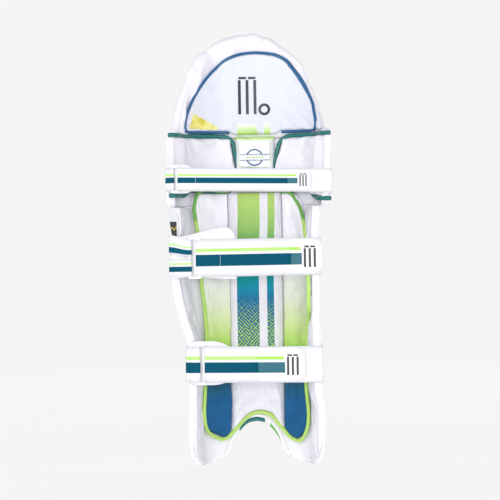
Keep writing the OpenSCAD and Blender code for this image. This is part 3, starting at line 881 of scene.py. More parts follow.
def shin_lining():
    """Lining of the leg side from rim to rim: flat behind the bolsters, padded over the wings."""
    inside, sewn, rim = 0.665, 0.925, 0.985

    def foot(u):
        """The lining stops above the face's hem in the instep arch."""
        return hem(u) + 0.0025 + 0.007 * (1 - ease(abs(u), 0.22, 0.33))

    def puff(u, z):
        v = abs(u)
        if v < inside:
            return 0.0
        low = ease(z, hem(u) + 0.004, hem(u) + 0.03)
        low *= 1 - 0.6 * ease(z, KNEE_Z - 0.02, KNEE_Z)
        f = (v - inside) / (sewn - inside)
        body = 6.5 * MM * crown(f) ** 1.5 if v < sewn else 0.0
        edge = 2.2 * MM * crown((v - sewn) / (rim - sewn)) if v > sewn else 0.0
        return (body + edge) * low

    def inner(i, j):
        u = mix(-rim, rim, i)
        z = mix(foot(u), KNEE_Z - 0.0005, j)
        p = shell(u, lining_in(u), z)
        soft = ripple(p, 0.022, 1.6 * MM, 3.1) + ripple(p, 0.05, 1.8 * MM, 1.3)
        return shell(u, lining_in(u) + puff(u, z) * (1 + soft / (3 * MM)) - 0.2 * MM, z)

    def outer(i, j):
        u = mix(-rim, rim, i)
        return shell(u, lining_in(u) - 3.2 * MM, mix(foot(u), KNEE_Z - 0.0005, j))
    obj = slab("shin_lining_sheet", 200, 130, outer, inner)
    dress(obj, MESH, "mesh_white", replaces=("shin_lining", "left_wing_lining", "right_wing_lining"))
    for side, word in ((LEFT, "left"), (RIGHT, "right")):
        path = [shell(side * sewn, lining_in(sewn) + 0.6 * MM, z)
                for z in span(hem(sewn) + 0.012, KNEE_Z - 0.004, 80)]
        seam(f"{word}_rim_seam", path, Vector((-side, 0, 0)), "mesh_white",
             sizes=(2.2 * MM, 1.2 * MM, 0.35 * MM))


def edge_out(path_uz, i):
    """Way out of the shell at one point of a path of (u, z)."""
    u, z = path_uz[i]
    d = shell(u, 0, z) - shell(u, WING_T, z)
    d.z = 0
    return d.normalized()


def edge_tube(name, path_uz, in_plane, material=BINDING, rough=0.0):
    """Binding over the shell's edge, as deep as the shell is thick."""
    pts = relax([Vector((u, z, 0)) for u, z in path_uz], 3)
    uz = [(p.x, p.y) for p in pts]
    path = [shell(u, lining_in(u) / 2, z) for u, z in uz]
    depth = [lining_in(u) / 2 + 0.9 * MM for u, _ in uz]
    run = lengths(path)

    def deep(f):
        return depth[nearest(run, f)]

    def wide(f):
        return in_plane * (1 + rough * noise.noise(path[nearest(run, f)] / 0.018))
    obj = tube(name, path, wide, deep, 18, lambda i: edge_out(uz, i))
    dress(obj, material, "pu_white")


def rim_path(side):
    """From the top of a rear rim down to the hem and forward, as (u, z)."""
    v, inset = 0.965, 5 * MM
    down = [(side * v, z) for z in span(KNEE_Z - 0.001, 0.048, 70)]
    return down + [(side * u, hem(u) + inset) for u in span(v - 0.01, 0.28, 50)[1:]]


def shin_edges():
    for side, name in ((LEFT, "left"), (RIGHT, "right")):
        edge_tube(f"{name}_rim_binding", rim_path(side), 5 * MM, rough=0.15)
    edge_tube("face_hem", [(u, hem(u) + 4.5 * MM) for u in span(-0.285, 0.285, 60)], 4.5 * MM, PU_HEM)
    end = 0.33
    inner = []
    for u in span(-end, end, 60):
        deep = LINING_T * 0.97 - 4.5 * MM * ease(abs(u), 0.2, end)
        inner.append(shell(u, deep, hem(u) + 4 * MM + 7 * MM * (1 - ease(abs(u) / end, 0.6, 1))))
    bind = tube("instep_binding", relax(inner, 2), 3.0 * MM, 2.6 * MM)
    dress(bind, BINDING, "pu_white")


# ---------------------------------------------------------------- shin bolsters
def pinned_edges(nu, nz):
    """Points of a slab that are sewn down: its outer grid and the border of the inner one."""
    side = (nu + 1) * (nz + 1)
    pins = list(range(side))
    for i in range(nu + 1):
        for j in range(nz + 1):
            if i in (0, nu) or j in (0, nz):
                pins.append(side + i * (nz + 1) + j)
    return pins


def padded_piece(name, place, thick, grid_size, edge, start, material, slot, replaces, body="shin",
                 uv=None, pressure=5, grow=0.02, cap=7 * MM, half=None, shape=None, wrap=None):
    """Crowned pad on the lining, swollen as cloth from a slightly smaller shape.

    place(i, j) gives u and z of a point of its outline grid; edge and start are the shares of its
    thickness at its border and in its middle, before it swells.
    """
    nu, nz = grid_size
    grid = {}

    def spot(i, j):
        if (i, j) not in grid:
            grid[i, j] = place(i, j)
        return grid[i, j]

    def outer(i, j):
        u, z = spot(i, j)
        return shell(u, pad_base(u), z, half(u, z) if half else None)

    def inner(i, j):
        u, z = spot(i, j)
        p = outer(i, j)
        swell = crown(i) * crown(j)
        full = thick * (edge + (start - edge) * swell) + ripple(p, 0.025, 1.2 * MM) * swell
        if shape:
            full += shape(p, i, j) * swell
        p = shell(u, pad_base(u) + full, z, half(u, z) if half else None)
        return wrap(p, i, j) if wrap else p
    obj = slab(name, nu, nz, outer, inner, uv)
    inflate(obj, pinned_edges(nu, nz), pressure, grow, cap)
    smooth(obj)
    dress(obj, material, slot, body, replaces)
    return obj


def front_uv(p, i, j):
    return (p.x - PAD_X, p.z)


def bolster_place(side, seam):
    """Side panel: from the outer edge, which depends on the height, to the seam by the middle band."""
    def place(i, j):
        f = i if side < 0 else 1 - i
        foot = BOLSTER_FOOT(mix(side * 86, seam * 1000, f))
        z = mix(foot, BOLSTER_TOP, j)
        edge = side * BOLSTER_EDGE[side](z * 1000)
        edge -= side * 9 * MM * max(0.0, (z - BOLSTER_TOP + 0.016) / 0.016) ** 2
        edge -= side * (7 if side < 0 else 3.5) * MM * max(0.0, (0.076 - z) / 0.024) ** 2
        return u_at(mix(edge, seam, f), z, 8 * MM, shin_half(side, z)), z
    return place


def shin_bolsters():
    for name, side, seam in (("left", LEFT, SEAM_L - 1 * MM), ("right", RIGHT, SEAM_R + 1 * MM)):
        padded_piece(f"bolster_{name}", bolster_place(side, seam), 17 * MM, (24, 84), 0.3, 0.85, SIDE_FABRIC,
                     "bolster_fabric", (f"shin_bolster_{name}",), grow=0.03, half=shin_half)

    def middle(i, j):
        x = mix(SEAM_L, SEAM_R, i)
        z = mix(BOLSTER_FOOT(x * 1000), BOLSTER_TOP, j)
        return u_at(x, z, 8 * MM, shin_half(x, z)), z
    padded_piece("bolster_middle", middle, 23 * MM, (36, 84), 0.35, 0.9, BAND_FABRIC, "bolster_fabric",
                 ("shin_bolster_centre",), uv=front_uv, half=shin_half)


def bolster_piping():
    """One cord round the bolsters: up both sides, and along the instep arch."""
    r = 3.1 * MM
    out = 3.2 * MM
    top = BOLSTER_TOP

    def side_run(side, low, high):
        return [(side * (BOLSTER_EDGE[side](z * 1000) + out), z) for z in span(low, high, 46)]
    left = side_run(LEFT, 0.074, top - 0.022)[::-1]
    right = side_run(RIGHT, 0.074, top - 0.036)
    foot = [(x * MM, BOLSTER_FOOT(x) - out) for x in span(-78, 77, 90)]
    corner = [(-0.0885, 0.066), (-0.086, 0.058), (-0.0825, 0.053)]
    heel = [(0.081, 0.045), (0.0855, 0.053), (0.088, 0.064)]
    head = [(-0.044, top + 0.003), (-0.054, top + 0.001), (-0.066, top + 0.004), (-0.078, top + 0.007),
            (-0.088, top + 0.008), (-0.097, top + 0.005), (-0.102, top - 0.002), (-0.1042, top - 0.011)]
    tail = [(0.0795, top - 0.026), (0.0765, top - 0.013), (0.071, top - 0.003), (0.064, top + 0.003),
            (0.055, top + 0.004), (0.048, top + 0.001)]
    xz = [Vector((x, 0, z)) for x, z in head + left + corner + foot + heel + right + tail]
    xz = relax(xz, 3)
    path = []
    for p in xz:
        half = shin_half(p.x, p.z)
        u = u_at(p.x, p.z, 6 * MM, half)
        lift = mix(6 * MM, 9 * MM, ease(p.z, top - 0.03, top - 0.01))
        path.append(shell(u, pad_base(u) + lift, p.z, half))
    path = [p + Vector((ripple(p, 0.03, 0.8 * MM), 0, ripple(p, 0.03, 0.8 * MM, 5))) for p in path]
    obj = tube("bolster_piping", path, lambda f: r * (1 + 0.1 * noise.noise(Vector((f * 40, 0, 0)))))
    dress(obj, PIPE_LIME, "piping_lime", replaces=("shin_bolster_piping",))


# ---------------------------------------------------------------- knee
def knee_lining():
    def inner(i, j):
        u = mix(-0.985, 0.985, i)
        return shell(u, lining_in(u), knee_z(j))

    def outer(i, j):
        u = mix(-0.985, 0.985, i)
        return shell(u, 7 * MM, knee_z(j))
    obj = slab("knee_lining", 120, 24, outer, inner)
    dress(obj, MESH, "mesh_white", replaces=("knee_backing",))


def knee_outer(side, name):
    """Side cover of the knee, beside and behind the rolls."""
    def outer(i, j):
        u = side * mix(0.0, 0.99, i)
        z = knee_z(j)
        p = shell(u, 0, z)
        v = abs(u)
        t = 0.8 * MM + ripple(p, 0.03, 1.0 * MM, 2) + 3 * MM * ease(v, 0.95, 1) - 1.2 * MM * crown(j)
        return shell(u, t, z)

    def inner(i, j):
        return shell(side * mix(0.0, 0.99, i), 6.5 * MM, knee_z(j))
    obj = slab(f"{name}_knee_outer", 80, 30, outer, inner, flip=side < 0)
    dress(obj, PU_WHITE, "pu_white", replaces=(f"{name}_knee_wing",))
    path = [(side * 0.965, z) for z in span(KNEE_Z + 0.003, HAT_Z - 0.002, 30)]
    edge_tube(f"{name}_knee_rim", path, 5 * MM, rough=0.15)
    foot = [(side * u, KNEE_Z + 0.0035) for u in span(0.62, 0.965, 30)]
    edge_tube(f"{name}_knee_hem", foot, 3.2 * MM)


def knee_rolls():
    pitch = (HAT_Z - KNEE_Z) / 3
    for k, name in enumerate(("lower", "middle", "upper")):
        z = KNEE_Z + pitch * (k + 0.5)
        end, turns, sides = 0.74, 96, 22
        verts, uvs = [], []
        for s in range(turns + 1):
            f = s / turns
            u = mix(-end, end, f)
            full = 0.12 + 0.88 * crown(f) ** 0.7
            p = shell(u, 0, z)
            swell = 1 + 0.04 * noise.noise(p / 0.035 + Vector((k, 0, 0)))
            for q in range(sides):
                a = -math.pi / 2 + math.pi * q / (sides - 1)
                deep = -0.3 * MM - full * swell * 17 * MM * math.cos(a) ** 0.8
                rise = (0.55 + 0.45 * full) * 18.4 * MM * math.sin(a)
                verts.append(shell(u, deep, z + rise, half_width(u, z)))
                uvs.append((u * 0.2, a * 0.02))
        faces = []
        for s in range(turns):
            for q in range(sides):
                a, b = s * sides, (q + 1) % sides
                faces.append((a + q, a + sides + q, a + sides + b, a + b))
        faces.append(tuple(range(sides)))
        faces.append(tuple(turns * sides + q for q in range(sides - 1, -1, -1)))
        obj = make(f"roll_{name}", verts, faces, uvs)
        dress(obj, PU_FACE, "pu_white", replaces=(f"knee_roll_{name}",))


KNEE_TOP = HAT_Z + 1.5 * MM


def knee_foot(u):
    low = 457 * MM if u > 0 else 462 * MM
    return mix(BOLSTER_TOP + 7 * MM, low, ease(abs(u), 0.62, 0.78)) - (3 * MM if u > 0.9 else 0)


def knee_inner(side, z):
    """Inner edge of a knee bolster, from the pad's middle; it leans towards the middle downwards."""
    top, low = (-37 * MM, -30 * MM) if side < 0 else (50 * MM, 37 * MM)
    return mix(low, top, ease(z, 0.49, KNEE_TOP) ** 1.3)


def knee_bolsters():
    """Two mesh pillows that reach over the wings to the rims, each with its teal cord."""
    rim = 0.985
    for side, name in ((LEFT, "left"), (RIGHT, "right")):
        def place(i, j, side=side):
            f = i if side < 0 else 1 - i
            u0 = side * rim
            low = knee_foot(side * mix(rim, 0.3, f))
            z = mix(low, KNEE_TOP, j)
            u1 = u_at(knee_inner(side, z), z)
            return mix(u0, u1, f), z

        def over_rim(p, i, j, side=side):
            """The cover runs on from the pillow over the rim of the wing."""
            f = i if side < 0 else 1 - i
            rim_p = shell(side * 1.0, mix(1.0, 4.0, f / 0.06) * MM if f < 0.06 else 4 * MM, p.z)
            rim_p.y -= 1.1 * MM
            return p.lerp(rim_p, 1 - ease(f, 0.02, 0.15))
        padded_piece(f"{name}_knee_pad", place, 20 * MM, (52, 30), 0.2, 0.85, MESH, "mesh_white",
                     (f"{name}_knee_bolster",), grow=0.03, wrap=over_rim)

        def spot(u, z, lift=6 * MM):
            return shell(u, pad_base(u) + lift, z)
        top, edge = KNEE_TOP + 2.5 * MM, []
        over = [shell(side * 1.0, 4.5 * MM, top), shell(side * 1.0, 9 * MM, top)]
        over[0].y -= 1.5 * MM
        over[1].y -= 1.5 * MM
        u_top = u_at(knee_inner(side, KNEE_TOP), KNEE_TOP)
        run = [spot(mix(side * 0.97, u_top + side * 0.03, i / 30), top) for i in range(31)]
        for i in range(19):
            z = mix(KNEE_TOP - 0.004, knee_foot(side * 0.3) + 0.004, i / 18)
            edge.append(spot(u_at(knee_inner(side, z), z, 6 * MM) - side * 0.018, z))
        foot = []
        for i in range(31):
            u = mix(u_at(knee_inner(side, 0.475), 0.475) + side * 0.03, side * 0.97, i / 30)
            foot.append(spot(u, knee_foot(u) - 3 * MM))
        under = [p - Vector((0, 0, top - foot[-1].z)) for p in over[::-1]]
        path = relax(over + run + edge + foot + under, 3)
        path = [p + Vector((0, 0, ripple(p, 0.035, 1.5 * MM, side))) for p in path]

        def radius(f):
            return (3.7 - 0.9 * ease(f, 0.4, 0.5) + 0.9 * ease(f, 0.56, 0.64)) * MM
        pipe = tube(f"{name}_knee_cord", path, radius)
        dress(pipe, PIPE_TEAL, "piping_teal", replaces=(f"{name}_knee_piping",))


def knee_centre():
    """Small round-cornered pad between the bolsters, and the plain panel under it."""
    low, high = 503 * MM, KNEE_TOP + 1.5 * MM

    def place(i, j):
        z = mix(low, high, j)
        return u_at(mix(-0.029, 0.0355, i), z), z

    def below(i, j):
        z = mix(BOLSTER_TOP + 0.002, low - 0.001, j)
        return u_at(mix(-0.030, 0.037, i), z), z
    pad = padded_piece("knee_middle_pad", place, 20 * MM, (30, 24), 0.25, 0.85, CENTRE_FABRIC, "mesh_white",
                       ("knee_centre_pad",), uv=front_uv, cap=6 * MM)
    padded_piece("knee_lower_panel", below, 16 * MM, (24, 12), 0.3, 0.9, MESH, "mesh_white", (),
                 uv=front_uv, pressure=2, cap=9 * MM)
    return pad


def side_label():
    """Folded woven label sewn to the left rim."""
    lo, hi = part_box("side_label")

    def face(out):
        def at(i, j):
            z = mix(lo.z, hi.z, j)
            lean = 5 * MM * (1 - j) ** 1.5
            bow = 1.2 * MM * math.sin(math.pi * j)
            return Vector((mix(lo.x + lean, hi.x, i), lo.y - bow * (1 - i) + (out * 0.8 * MM), z))
        return at
    obj = slab("rim_label", 10, 26, face(1), face(0))
    dress(obj, LABEL, "label", replaces=("side_label",))


# ---------------------------------------------------------------- top hat
HAT_FOOT = HAT_Z + 0.5 * MM


def hat_cover():
    lines = [-0.62, -0.3, -0.1, 0.1, 0.3, 0.62]
    edges = [-0.85] + lines + [0.85]

    def outer(i, j):
        u = mix(-0.84, 0.84, i)
        z = mix(HAT_FOOT, hat_top(u) - 0.004, j)
        p = shell(u, 0, z)
        puff = 3.2 * MM * quilt(u, edges) * crown(min(1, 0.06 + j * 0.94))
        return shell(u, 3 * MM - puff + ripple(p, 0.04, 1 * MM), z)

    def inner(i, j):
        u = mix(-0.84, 0.84, i)
        return shell(u, 7 * MM, mix(HAT_FOOT, hat_top(u) - 0.004, j))
    obj = slab("hat_outer", 150, 60, outer, inner)
    dress(obj, PU_FACE, "pu_white", "top_hat", ("top_hat_cover", "top_hat_foam"))
    for k, u in enumerate(lines):
        path = [shell(u, 2.6 * MM, z) for z in span(HAT_Z + 0.006, hat_top(u) - 0.02, 40)]
        seam(f"hat_seam_{k + 1}", path, shell(u, 0, HAT_Z) - shell(u, 0.01, HAT_Z), body="top_hat")


def hat_lining():
    def inner(i, j):
        u = mix(-0.84, 0.84, i)
        z = mix(HAT_FOOT, hat_top(u) - 0.007, j)
        p = shell(u, 0, z)
        fold = 0.0
        for u0, slope in ((-0.5, 1.6), (-0.62, 1.2), (0.44, -1.7), (0.56, -1.0)):
            d = (u - u0 - slope * (z - 0.66)) / 0.028
            fold += 3.2 * MM * math.exp(-d * d)
        fold *= crown(j) * ease(abs(u), 0.35, 0.45)
        return shell(u, lining_in(u) + 4 * MM * crown(j) + fold + ripple(p, 0.02, 2.4 * MM, 4), z)

    def outer(i, j):
        u = mix(-0.84, 0.84, i)
        return shell(u, 8 * MM, mix(HAT_FOOT, hat_top(u) - 0.007, j))
    obj = slab("hat_lining", 150, 50, outer, inner)
    dress(obj, MESH, "mesh_white", "top_hat", ("top_hat_lining",))


def hat_rim():
    """Soft mesh-covered roll along the top hat's edge, gathered into shallow scallops."""
    r = 9 * MM
    last = 0.835
    uz = []
    for u in span(-last, last, 180):
        slope = (hat_top(min(0.84, u + 0.01)) - hat_top(max(-0.84, u - 0.01))) / 0.0042
        tilt = math.sqrt(1 + slope * slope)
        inset = min(0.022, abs(slope) / tilt * r / 0.34) * ease(abs(u), 0.05, 0.3)
        uz.append((u - math.copysign(inset, u), max(HAT_Z + 0.005, hat_top(u) - r / tilt)))
    pts = relax([Vector((u, z, 0)) for u, z in uz], 6)
    uz = [(p.x, p.y) for p in pts]
    path = [shell(u, lining_in(u) / 2 + 0.5 * MM, z) for u, z in uz]
    run = lengths(path)
    total = run[-1]

    def scallop(f):
        """Gathers of uneven length, each with a short pinch between it and the next."""
        s = f * total / 0.047 + 0.35 * math.sin(f * 23)
        return 1.03 - 0.24 * abs(math.cos(math.pi * s)) ** 14 + 0.07 * noise.noise(Vector((s * 1.3, 2, 0)))

    def deep(f):
        return (lining_in(uz[nearest(run, f)][0]) / 2 + 1.5 * MM) * (0.5 + 0.5 * scallop(f))
    obj = tube("hat_rim", path, lambda f: r * scallop(f), deep, 22, lambda i: edge_out(uz, i))
    dress(obj, MESH, "mesh_white", "top_hat")


def pad_sill(x):
    """Lower edge of the inner pad; it dips in the middle, to the knee's centre pad."""
    return mix(HAT_Z + 6.5 * MM, HAT_Z + 12.5 * MM, ease(abs(x - 4 * MM), 0.034, 0.048))


def hat_pad():
    """D-shaped pad inside the top hat, its blue cord, and what is printed on it."""
    left, right = -116.5 * MM, 112 * MM

    def place(i, j):
        x = mix(left, right, i)
        low = pad_sill(x)
        z = mix(low, max(low + 3 * MM, PAD_ROOF(x * 1000) - 2 * MM), j)
        return u_at(x, z, 6 * MM), z

    def seams(p, i, j):
        """Two shallow upright seams."""
        x = p.x - PAD_X
        pull = math.exp(-((x + 34 * MM) / (1.5 * MM)) ** 2) + math.exp(-((x - 57 * MM) / (1.5 * MM)) ** 2)
        return -0.9 * MM * pull
    pad = padded_piece("hat_pad", place, 14 * MM, (64, 40), 0.3, 0.9, HAT_FABRIC, "mesh_white",
                       ("top_hat_pad",), "top_hat", front_uv, cap=5 * MM, shape=seams)

    def run(points):
        pts = relax([Vector((x, 0, z)) for x, z in points], 3)
        path = []
        for p in pts:
            u = u_at(p.x, p.z, 5 * MM)
            proud = 5 * MM + 3 * MM * ease(p.x, 0.1, 0.11) * (1 - ease(p.z, 0.6, 0.62))
            path.append(shell(u, pad_base(u) + proud, p.z))
        return path
    foot_l = [(x, pad_sill(x) - 1.5 * MM) for x in span(-0.040, left + 0.002, 30)]
    foot_r = [(x, pad_sill(x) - 1.5 * MM) for x in span(right - 0.002, 0.050, 30)]
    roof = [(x, PAD_ROOF(x * 1000)) for x in span(left, right, 140)]
    path = run(foot_l + roof + foot_r)

    def radius(f):
        return (2.6 + 1.1 * ease(f, 0.56, 0.62) * (1 - ease(f, 0.7, 0.76))) * MM
    pipe = tube("hat_pad_cord", path, radius)
    dress(pipe, PIPE_BLUE, "piping_blue", "top_hat", ("top_hat_piping",))
    return pad


def drape(name, outlines, target, material, body, lift=0.25 * MM, thick=0.3 * MM):
    """Thin printed shape laid on the leg side of a piece. Outlines are filled areas, as x and z."""
    tree = BVHTree.FromObject(target, bpy.context.evaluated_depsgraph_get())
    verts, faces, uvs = [], [], []
    for quads in outlines:
        index = {}

        def add(x, z, up):
            key = (round(x, 6), round(z, 6), up)
            if key not in index:
                hit = tree.ray_cast(Vector((x, REAR_Y - 0.05, z)), Vector((0, 1, 0)))[0]
                y = hit.y if hit else 0
                index[key] = len(verts)
                verts.append(Vector((x, y - (lift + thick if up else -0.5 * MM), z)))
                uvs.append((x, z))
            return index[key]
        edges = {}
        for quad in quads:
            faces.append(tuple(add(x, z, True) for x, z in quad))
            for a, b in zip(quad, quad[1:] + quad[:1]):
                ka, kb = tuple(round(c, 6) for c in a), tuple(round(c, 6) for c in b)
                if (kb, ka) in edges:
                    del edges[kb, ka]
                else:
                    edges[ka, kb] = (a, b)
        for a, b in edges.values():
            faces.append((add(*b, True), add(*a, True), add(*a, False), add(*b, False)))
    dress(make(name, verts, faces, uvs, smooth=False), material, "label", body)


def stroke(points, width, closed=False):
    """Quads of a line of even width through points, for drape()."""
    n = len(points)
    sides = []
    for i, (x, z) in enumerate(points):
        a = points[(i - 1) % n] if closed or i else points[0]
        b = points[(i + 1) % n] if closed or i < n - 1 else points[-1]
        d = Vector((b[0] - a[0], b[1] - a[1])).normalized() * width / 2
        sides.append(((x - d.y, z + d.x), (x + d.y, z - d.x)))
    quads = []
    for i in range(n if closed else n - 1):
        (a, b), (c, d) = sides[i], sides[(i + 1) % n]
        quads.append([a, b, d, c])
    return quads


def line(x0, z0, x1, z1, n=10):
    return [(mix(x0, x1, i / n), mix(z0, z1, i / n)) for i in range(n + 1)]


def ring_line(cx, cz, r, n=48):
    return [(cx + r * math.cos(a), cz + r * math.sin(a)) for a in span(0, 2 * math.pi, n)[:-1]]


def round_box(x0, z0, x1, z1, r, n=8):
    """Outline of a rectangle with round corners, with points all along it."""
    pts = []
    corners = ((x1 - r, z1 - r, 0), (x0 + r, z1 - r, 90), (x0 + r, z0 + r, 180), (x1 - r, z0 + r, 270))
    for cx, cz, a in corners:
        for angle in span(math.radians(a), math.radians(a + 90), n):
            pts.append((cx + r * math.cos(angle), cz + r * math.sin(angle)))
    dense = []
    for (xa, za), (xb, zb) in zip(pts, pts[1:] + pts[:1]):
        m = max(1, int(math.hypot(xb - xa, zb - za) / (3 * MM)))
        dense += [(mix(xa, xb, k / m), mix(za, zb, k / m)) for k in range(m)]
    return dense


def wicket(cx, cz, size, width, spread=0.26):
    """Generic sign: three stumps and two bails."""
    out = []
    for k in (-1, 0, 1):
        x = cx + k * size * spread
        out.append(stroke(line(x, cz - size / 2, x, cz + size * 0.34), width))
    for k in (-1, 1):
        z, step = cz + size * 0.34 + width * 0.75, k * size * spread
        out.append(stroke(line(cx + step * 0.12, z, cx + step * 1.1, z), width * 0.8))
    return out


def fill(corners, n=14, m=8):
    """Quads that fill a four-cornered area."""
    (ax, az), (bx, bz), (cx, cz), (dx, dz) = corners

    def at(f, g):
        return (mix(mix(ax, bx, f), mix(dx, cx, f), g), mix(mix(az, bz, f), mix(dz, cz, f), g))
    return [[at(i / n, j / m), at((i + 1) / n, j / m), at((i + 1) / n, (j + 1) / m), at(i / n, (j + 1) / m)]
            for i in range(n) for j in range(m)]


def hat_prints(pad):
    """A generic wicket and ball in place of the maker's sign, and the faceted yellow corner."""
    signs = wicket(PAD_X - 8 * MM, 0.634, 70 * MM, 4.8 * MM, 0.19)
    signs.append(stroke(ring_line(PAD_X + 21 * MM, 0.607, 8 * MM), 4.4 * MM, True))
    drape("hat_sign", signs, pad, INK, "top_hat")
    area = [(PAD_X + x * MM, z * MM) for x, z in ((-107.5, 574), (-60, 572.5), (-60, 577.5), (-100, 600))]
    drape("hat_corner", [fill(area)], pad, YELLOW, "top_hat")


def knee_prints(pad):
    """Lime outline, and a ring behind a plain ribbon with two bars."""
    cx, cz = PAD_X + 3 * MM, 0.5245
    x0, x1 = cx - 25 * MM, cx + 26 * MM
    box = round_box(PAD_X - 24 * MM, 0.507, PAD_X + 30 * MM, 0.5545, 8 * MM)
    bars = [stroke(line(x0, cz + k * 4.8 * MM, x1, cz + k * 4.8 * MM, 24), 0.9 * MM) for k in (-1, 1)]
    dashes = [stroke(line(cx + x * MM, cz, cx + (x + 3) * MM, cz, 3), 2.6 * MM)
              for x in (-13, -8, -3, 2, 7, 12)]
    ring = stroke(ring_line(cx, cz, 13.5 * MM), 2.2 * MM, True)
    ribbon_area = stroke(line(x0, cz, x1, cz, 24), 9 * MM)
    for name, shapes, ink, lift in (
            ("knee_outline", [stroke(box, 0.7 * MM, True)], LIME_INK, 0.25),
            ("knee_ring", [ring], BLUE_INK, 0.25), ("knee_ribbon", [ribbon_area], WHITE_INK, 0.6),
            ("knee_ribbon_edges", bars, BLUE_INK, 0.9), ("knee_ribbon_marks", dashes, LIME_INK, 0.9)):
        drape(name, shapes, pad, ink, "shin", lift * MM)


# ---------------------------------------------------------------- straps
STRAP = {
    "top": dict(stripes=((5.3, 8.7), (-6.6, 2.8)), tongue=(-0.099, 0.462, 0.5115), slant=-0.018),
    "mid": dict(stripes=((9.7, 15.3), (-14.3, 5.2)), tongue=(-0.030, 0.319, 0.4045), slant=0.004),
    "low": dict(stripes=((7.8, 13.2), (-14.3, 3.5)), tongue=(-0.046, 0.1395, 0.214), slant=-0.013),
}


def arc(cx, cy, r, a0, a1, n=12):
    """Points on an arc, angles in degrees."""
    return [(cx + r * math.cos(math.radians(mix(a0, a1, k / n))),
             cy + r * math.sin(math.radians(mix(a0, a1, k / n)))) for k in range(n + 1)]


def stretch(a, b, n):
    return line(*a, *b, n)


def strap(name):
    """One strap's lower run with its turn, and its upper run; returns what its anchor, tongue, tab and hook
    patch are built from.
    """
    info = STRAP[name]
    run_lo, run_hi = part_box(f"{name}_lower_run")
    bar = Vector(JOINT[f"{name}_ring_swing"]["pos_m"])
    bar2 = Vector((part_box(f"{name}_turn")[1].x, bar.y, bar.z))
    low, high = run_lo.z, run_hi.z
    mid = (low + high) / 2
    tab_lo, tab_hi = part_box(f"{name}_tab")
    cloth = webbing(f"webbing_{name}", info["stripes"])
    bare = webbing(f"webbing_{name}_plain", ())
    low_y, top_y = bar.y + WEB_OFF, bar.y - WEB_OFF

    def tilt(px, f):
        """The strap is done up at a slight slant."""
        return info["slant"] * max(0.0, px - bar2.x - 2 * MM)

    # lower run, from the right wing's outer side to the turn round the ring's bar
    x = run_hi.x - WEB_T / 2
    start = (x - 5 * MM, REAR_Y - 1.2 * MM)
    knee = (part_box(f"{name}_tongue")[1].x + 4 * MM, low_y)
    path = stretch((x, run_hi.y), (x, start[1] + 5 * MM), 10)[:-1]
    path += arc(start[0], start[1] + 5 * MM, 5 * MM, 0, -90, 8)
    path += stretch(start, knee, 24)[1:] + stretch(knee, (bar2.x + 1 * MM, low_y), 8)[1:]
    path += arc(bar2.x, bar2.y, WEB_OFF, 90, 270, 16)
    lower = ribbon(f"{name}_strap_under", path, low - 1.6 * MM, high + 0.4 * MM, tilt)
    dress(lower, bare, "webbing", None, (f"{name}_lower_run", f"{name}_turn"))
    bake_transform(lower)

    # upper run: the striped band over the ring
    end_x = tab_lo.x + 12 * MM
    tab_y0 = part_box(f"{name}_upper_run")[1].y - WEB_T / 2
    path = stretch((bar2.x + 0.2 * MM, top_y), (knee[0], top_y), 14)
    path += stretch((knee[0], top_y), (end_x, tab_y0), 24)[1:]
    upper = ribbon(f"{name}_strap_band", path, low, high, tilt)
    dress(upper, cloth, "webbing", None, (f"{name}_upper_run",))
    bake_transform(upper)
    slope = (tab_y0 - top_y) / (end_x - knee[0])

    def back(px):
        """Face of the upper run on the leg side."""
        return top_y + slope * (px - knee[0]) - WEB_T / 2
    return dict(name=name, low=low, high=high, mid=mid, bar=bar, bar2=bar2, knee=knee, top_y=top_y,
                tab_lo=tab_lo, tab_hi=tab_hi, info=info, tilt=tilt, back=back)


def strap_anchor(s):
    name, bar = s["name"], s["bar"]
    lo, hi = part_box(f"{name}_anchor")
    low_y = bar.y + WEB_OFF
    x = lo.x + WEB_T / 2
    r = 9 * MM
    path = stretch((x, hi.y), (x, low_y + r), 8)[:-1] + arc(x + r, low_y + r, r, 180, 270, 10)
    path += stretch((x + r, low_y), (bar.x, low_y), 4)[1:]
    path += arc(bar.x, bar.y, WEB_OFF, 90, -90, 14)[1:]
    path += stretch((bar.x - 0.5 * MM, bar.y - WEB_OFF), (x + 7 * MM, low_y - WEB_T * 1.02), 6)[1:]
    bands = [(s["low"], s["high"], s["info"]["stripes"], 0.0)]
    if name == "mid":
        bands = [(s["low"], s["low"] + 28 * MM, ((5.6, 8.2), (-6.4, 2.4)), 0.0),
                 (s["low"] + 34 * MM, s["high"], ((-0.6, 1.6), (-11.5, -3.5)), 9 * MM)]
    for k, (low, high, stripes, rise) in enumerate(bands):
        cloth = webbing(f"webbing_{name}_anchor_{k + 1}", stripes)

        def lift(px, f, rise=rise, x=x, bar=bar):
            return rise * ease(bar.x - px, 0, bar.x - x) * (0.4 + 0.6 * f)
        obj = ribbon(f"{name}_anchor_band_{k + 1}", path, low, high, lift)
        dress(obj, cloth, "webbing", "shin", (f"{name}_anchor",) if k == 0 else ())


